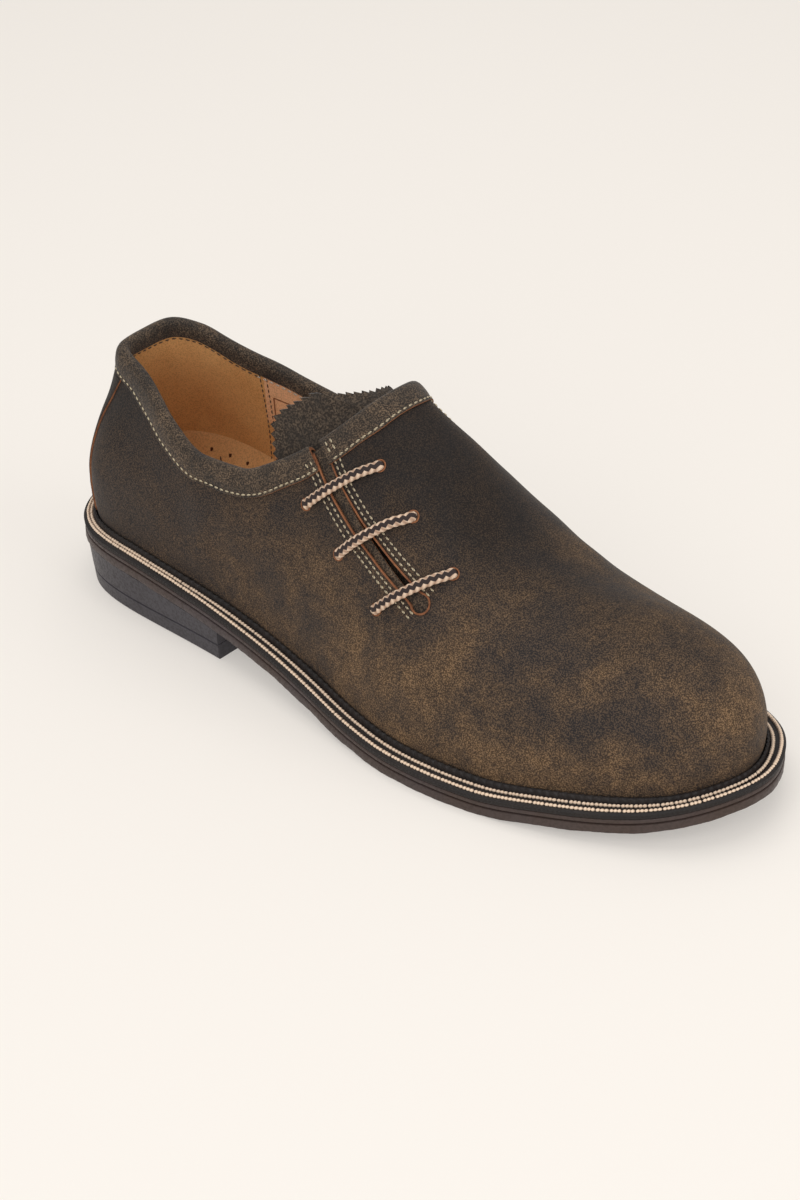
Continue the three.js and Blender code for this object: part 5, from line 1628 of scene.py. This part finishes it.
def over_band(u, girth):
    """Height of a stitch on the binding where that covers the leather, and elsewhere on the leather."""
    outer_side = BAND_PROFILE[8:1:-1]
    band = np.interp(below_topline(surface(u, girth)), outer_side[:, 0], outer_side[:, 1] + 0.15, right=0)
    return np.maximum(lie(u, girth), band) + STITCH_LIFT


seams = []
for number, distance in enumerate((-1.5, -3.5, 1.7, 3.8)):
    places = beside_slot(distance, 1.0 if distance > 0 else 4.0)
    seams.append(sew("flap_seam_%d" % (number + 1), *on_leather(places, over_band), *UPPER_STITCH, number))
medial_girth = np.linspace(2.06, 2.99, 90)
quarter_u = u_where(lambda p: p[..., 0] - quarter_x(p[..., 2]), medial_girth)
fine_run = below_topline(surface(quarter_u, medial_girth), BINDING_DROP + 3) > 0
run_u, run_girth = quarter_u[fine_run], medial_girth[fine_run]
forwards = unit(np.cross(tangents(surface(run_u, run_girth)), surface_normal(run_u, run_girth)))
forwards *= np.sign(forwards[0, 0])
for number, distance in enumerate((1.5, 3.9)):
    places = walk(run_u, run_girth, forwards, distance)
    seams.append(sew("quarter_seam_%d" % (number + 1), *on_leather(places, over_leather), *UPPER_STITCH,
                     number + 5))

# %% Seams of the collar and the lining
# rows of stitches: distance under the rim, and how far they follow the wave of the band's edge
OUTER_ROW, OUTER_FOLLOW, INNER_ROW, INNER_FOLLOW = 6.7, 0.9, 5.6, 0.55
outer_row = band_point(OUTER_ROW + OUTER_WAVE * outer_wave * OUTER_FOLLOW, 0.78)
inner_row = band_point(INNER_ROW + INNER_WAVE * inner_wave * INNER_FOLLOW, -UPPER_WALL - 0.15)
row_out = unit(band_out[12])
sewn_from, sewn_to = (int(v) for v in band_ends(OUTER_ROW))
sewn = slice(sewn_from + 2, sewn_to - 1)
outer_row, inner_row, row_out = outer_row[sewn], inner_row[sewn], row_out[sewn]
front_part = band_points[sewn][:, 0] > LINING_SEAM_X
band_seams = [sew("collar_seam_outer", outer_row, row_out, *COLLAR_STITCH, 11)]


def stretches(mask):
    """Runs of neighbouring steps where the mask holds."""
    edges_of_runs = np.flatnonzero(np.diff(np.r_[False, mask, False].astype(int)))
    return [slice(a, b) for a, b in edges_of_runs.reshape(-1, 2) if b - a > 3]


inner_seams = (("inner", front_part, FRONT_STITCH, 12), ("heel", ~front_part, HEEL_STITCH, 15))
for where, mask, stitch, seed in inner_seams:
    for number, run in enumerate(stretches(mask)):
        name = "collar_seam_%s_%d" % (where, number + 1)
        band_seams.append(sew(name, inner_row[run], -row_out[run], *stitch, seed + number))
for number, girth_range in enumerate(((0.1, 0.95), (2.05, 2.9))):
    side_girth = np.linspace(*girth_range, 60)
    for k, x in enumerate((LINING_SEAM_X - 1.2, LINING_SEAM_X + 1.4)):
        seam_u = u_where(lambda p: p[..., 0] - x, side_girth)
        under = below_topline(surface(seam_u, side_girth), 8) > 0
        places = seam_u[under], side_girth[under]
        points, out = on_leather(places, lambda u, girth: -UPPER_WALL - STITCH_LIFT)
        name = "lining_seam_%d_%d" % (number + 1, k + 1)
        seams.append(sew(name, points, -out, *LINING_STITCH, 20 + number))

# %% Bare label outline on the lining
LABEL = [(62.5, 69.0), (71.0, 68.0), (71.0, 60.0), (62.5, 61.0)]
search_grid = np.meshgrid(np.linspace(2, 8, 240), np.linspace(2.05, 2.98, 240))
search_u, search_girth = (values.ravel() for values in search_grid)
wall = surface(search_u, search_girth)
found = [np.argmin((wall[:, 0] - x) ** 2 + (wall[:, 2] - z) ** 2) for x, z in LABEL + LABEL[:1]]
stretch = np.linspace(0, 4, 81)
label_u, label_girth = (np.interp(stretch, range(5), values[found]) for values in (search_u, search_girth))
label_points = lifted(label_u, label_girth, np.full(len(stretch), -UPPER_WALL - 0.08))
label_outline = raw_lip("label_outline", label_points, -surface_normal(label_u, label_girth), 0.3, 0.12)
report(label_outline)

# %% Welt seams
# share of the flat's width at the heel, and how much more from the waist on
WELT_ROWS = ((0.1, 0.06), (0.55, 0.22))
welt_seams = []
foot_x = welt_foot[:, 0]
foot_seat, rim_x = seat(foot_x), foot_x + welt_outward[:, 0] * welt_flat
for number, (at_heel, more) in enumerate(WELT_ROWS):
    share = smoothstep(foot_x, 60, 110) * more + at_heel
    distance = (BEAD_WIDTH * 1.1 + share * (welt_flat - 0.5 - BEAD_WIDTH * 1.1))[:, None]
    height = foot_seat + (seat(rim_x) - foot_seat) * distance[:, 0] / welt_flat + 0.4
    points = np.c_[welt_foot[:, :2] + welt_outward * distance, height][::2]
    points = np.concatenate([points, points[:1]])
    up = np.tile([0.0, 0.0, 1.0], (len(points), 1))
    welt_seams.append(sew("welt_seam_%d" % (number + 1), points, up, *WELT_STITCH, 30 + number))

# %% Insole seam, and its holes as discs of painted shade
def on_insole(x, share):
    """Points on the insole, from a place along the shoe and a share across it."""
    y_lateral = np.interp(x, insole_lateral[:, 0], insole_lateral[:, 1])
    y_medial = np.interp(x, insole_medial[:, 0], insole_medial[:, 1])
    return np.c_[x, y_lateral * (1 - share) + y_medial * share, insole_height(x, share)]


arc = np.linspace(0.1, 0.9, 60)
arc_points = on_insole(52 - 24 * (2 * arc - 1) ** 2, arc) + np.array([0, 0, 0.12])
insole_seam = sew("insole_seam", arc_points, np.tile([0.0, 0.0, 1.0], (60, 1)), *INSOLE_STITCH, 40)


def hole_shade_tree():
    """Small dark discs over the points of a mesh: painted shade that stands for holes."""
    tree, given, result = new_group("hole_shade_discs", [("Places", "Geometry"), ("Hole radius", "Float", 0.0006)],
                                    [("Holes", "Geometry")], "GeometryNodeTree")
    disc = add(tree, "GeometryNodeMeshCylinder", Vertices=12, Radius=given["Hole radius"], Depth=0.0012)
    made_real(tree, given["Places"], disc.outputs["Mesh"], HOLE_SHADE, result)
    return tree


# the dark colour of the holes is painted shade; the insole under them is not cut
HOLE_SHADE = plain_leather("hole_painted_shade", colour("5a3418"), colour("4a2a12"), 60.0, 0.9, 0.0)
hole_rows, hole_columns = np.meshgrid(np.arange(22, 240, 9.0), np.linspace(0.07, 0.93, 9), indexing="ij")
hole_places = on_insole((hole_rows + 4.5 * (np.arange(9) % 2)).ravel(), hole_columns.ravel())
insole_hole_shades = grown("insole_hole_shades", hole_places, hole_shade_tree(), {"Hole radius": 0.00055})
report(insole_hole_shades)

# %% Which pieces stand for which node
FLOOR_PAPER, floor_tree, floor_shader = new_material("floor_paper")
cloudy = use_group(floor_tree, patches, Patches_per_metre=4.0).outputs[0]
paper = blend_colours(floor_tree, cloudy, colour("c4bfb9"), colour("c5c0ba"))
floor_tree.links.new(paper, floor_shader.inputs["Base Color"])
floor_shader.inputs["Roughness"].default_value = 0.9
floor_shader.inputs["Emission Color"].default_value = (*colour("f8f3ed"), 1)
floor_shader.inputs["Emission Strength"].default_value = 0.39
HAND_OVER = {
    "upper": [vamp, medial_quarter, back_strip, slot_strip, slot_rim, hole_rims, lining, label_outline, *seams],
    "collar_binding": [collar_band, *band_seams],
    "tongue": [pinked_tongue],
    "insole": [insole_sheet, insole_seam, insole_hole_shades],
    "welt": [storm_welt, *welt_seams],
    "midsole": [midsole],
    "outsole": [outsole],
    "heel_block": [heel_stack],
    "heel_top_lift": [top_lift],
    "lace": [braided_lace],
}

# %% [markdown]
# ## Studio
# The floor is plain and pale, as in the photo. A wide soft light from above and behind the camera, a
# weaker one from the toe's side and a bright even surround give the flat daylight of a product picture.

# %% Floor and lights
floor_mesh = bpy.data.meshes.new("floor")
floor_mesh.from_pydata([(-4, -4, 0), (4, -4, 0), (4, 4, 0), (-4, 4, 0)], [], [(0, 1, 2, 3)])
floor = new_object("floor", floor_mesh)
floor_mesh.materials.append(FLOOR_PAPER)


def soft_light(name, place, aim, size, energy, tint=(1, 1, 1)):
    """A square area light that faces a point."""
    data = bpy.data.lights.new(name, "AREA")
    data.energy, data.size, data.color = energy, size, tint
    turn = (Vector(aim) - Vector(place)).to_track_quat("-Z", "Y")
    new_object(name, data).matrix_world = Matrix.Translation(Vector(place)) @ turn.to_matrix().to_4x4()


soft_light("overhead", (-0.25, 0.15, 1.4), (0, 0, 0), 1.3, 7.5, (1.0, 0.985, 0.96))
soft_light("front", (0.5, -1.2, 0.9), (0, 0, 0.04), 1.2, 9.0)
soft_light("toe_side", (1.2, 0.2, 0.7), (0, 0, 0.04), 0.9, 4.0)
world = bpy.data.worlds.new("surround")
bpy.context.scene.world = world
world.use_nodes = True
world.node_tree.nodes["Background"].inputs["Color"].default_value = (1.0, 0.985, 0.96, 1)
world.node_tree.nodes["Background"].inputs["Strength"].default_value = 0.5
bpy.context.scene.view_settings.view_transform = "Standard"

# %% [markdown]
# ## Handing over
# Each piece rides on the part's one body, and the main ones stand for the plain solids of the model.

# %% Pieces and bodies
for node, pieces in HAND_OVER.items():
    for piece in pieces:
        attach(piece, "root")
    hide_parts(node)
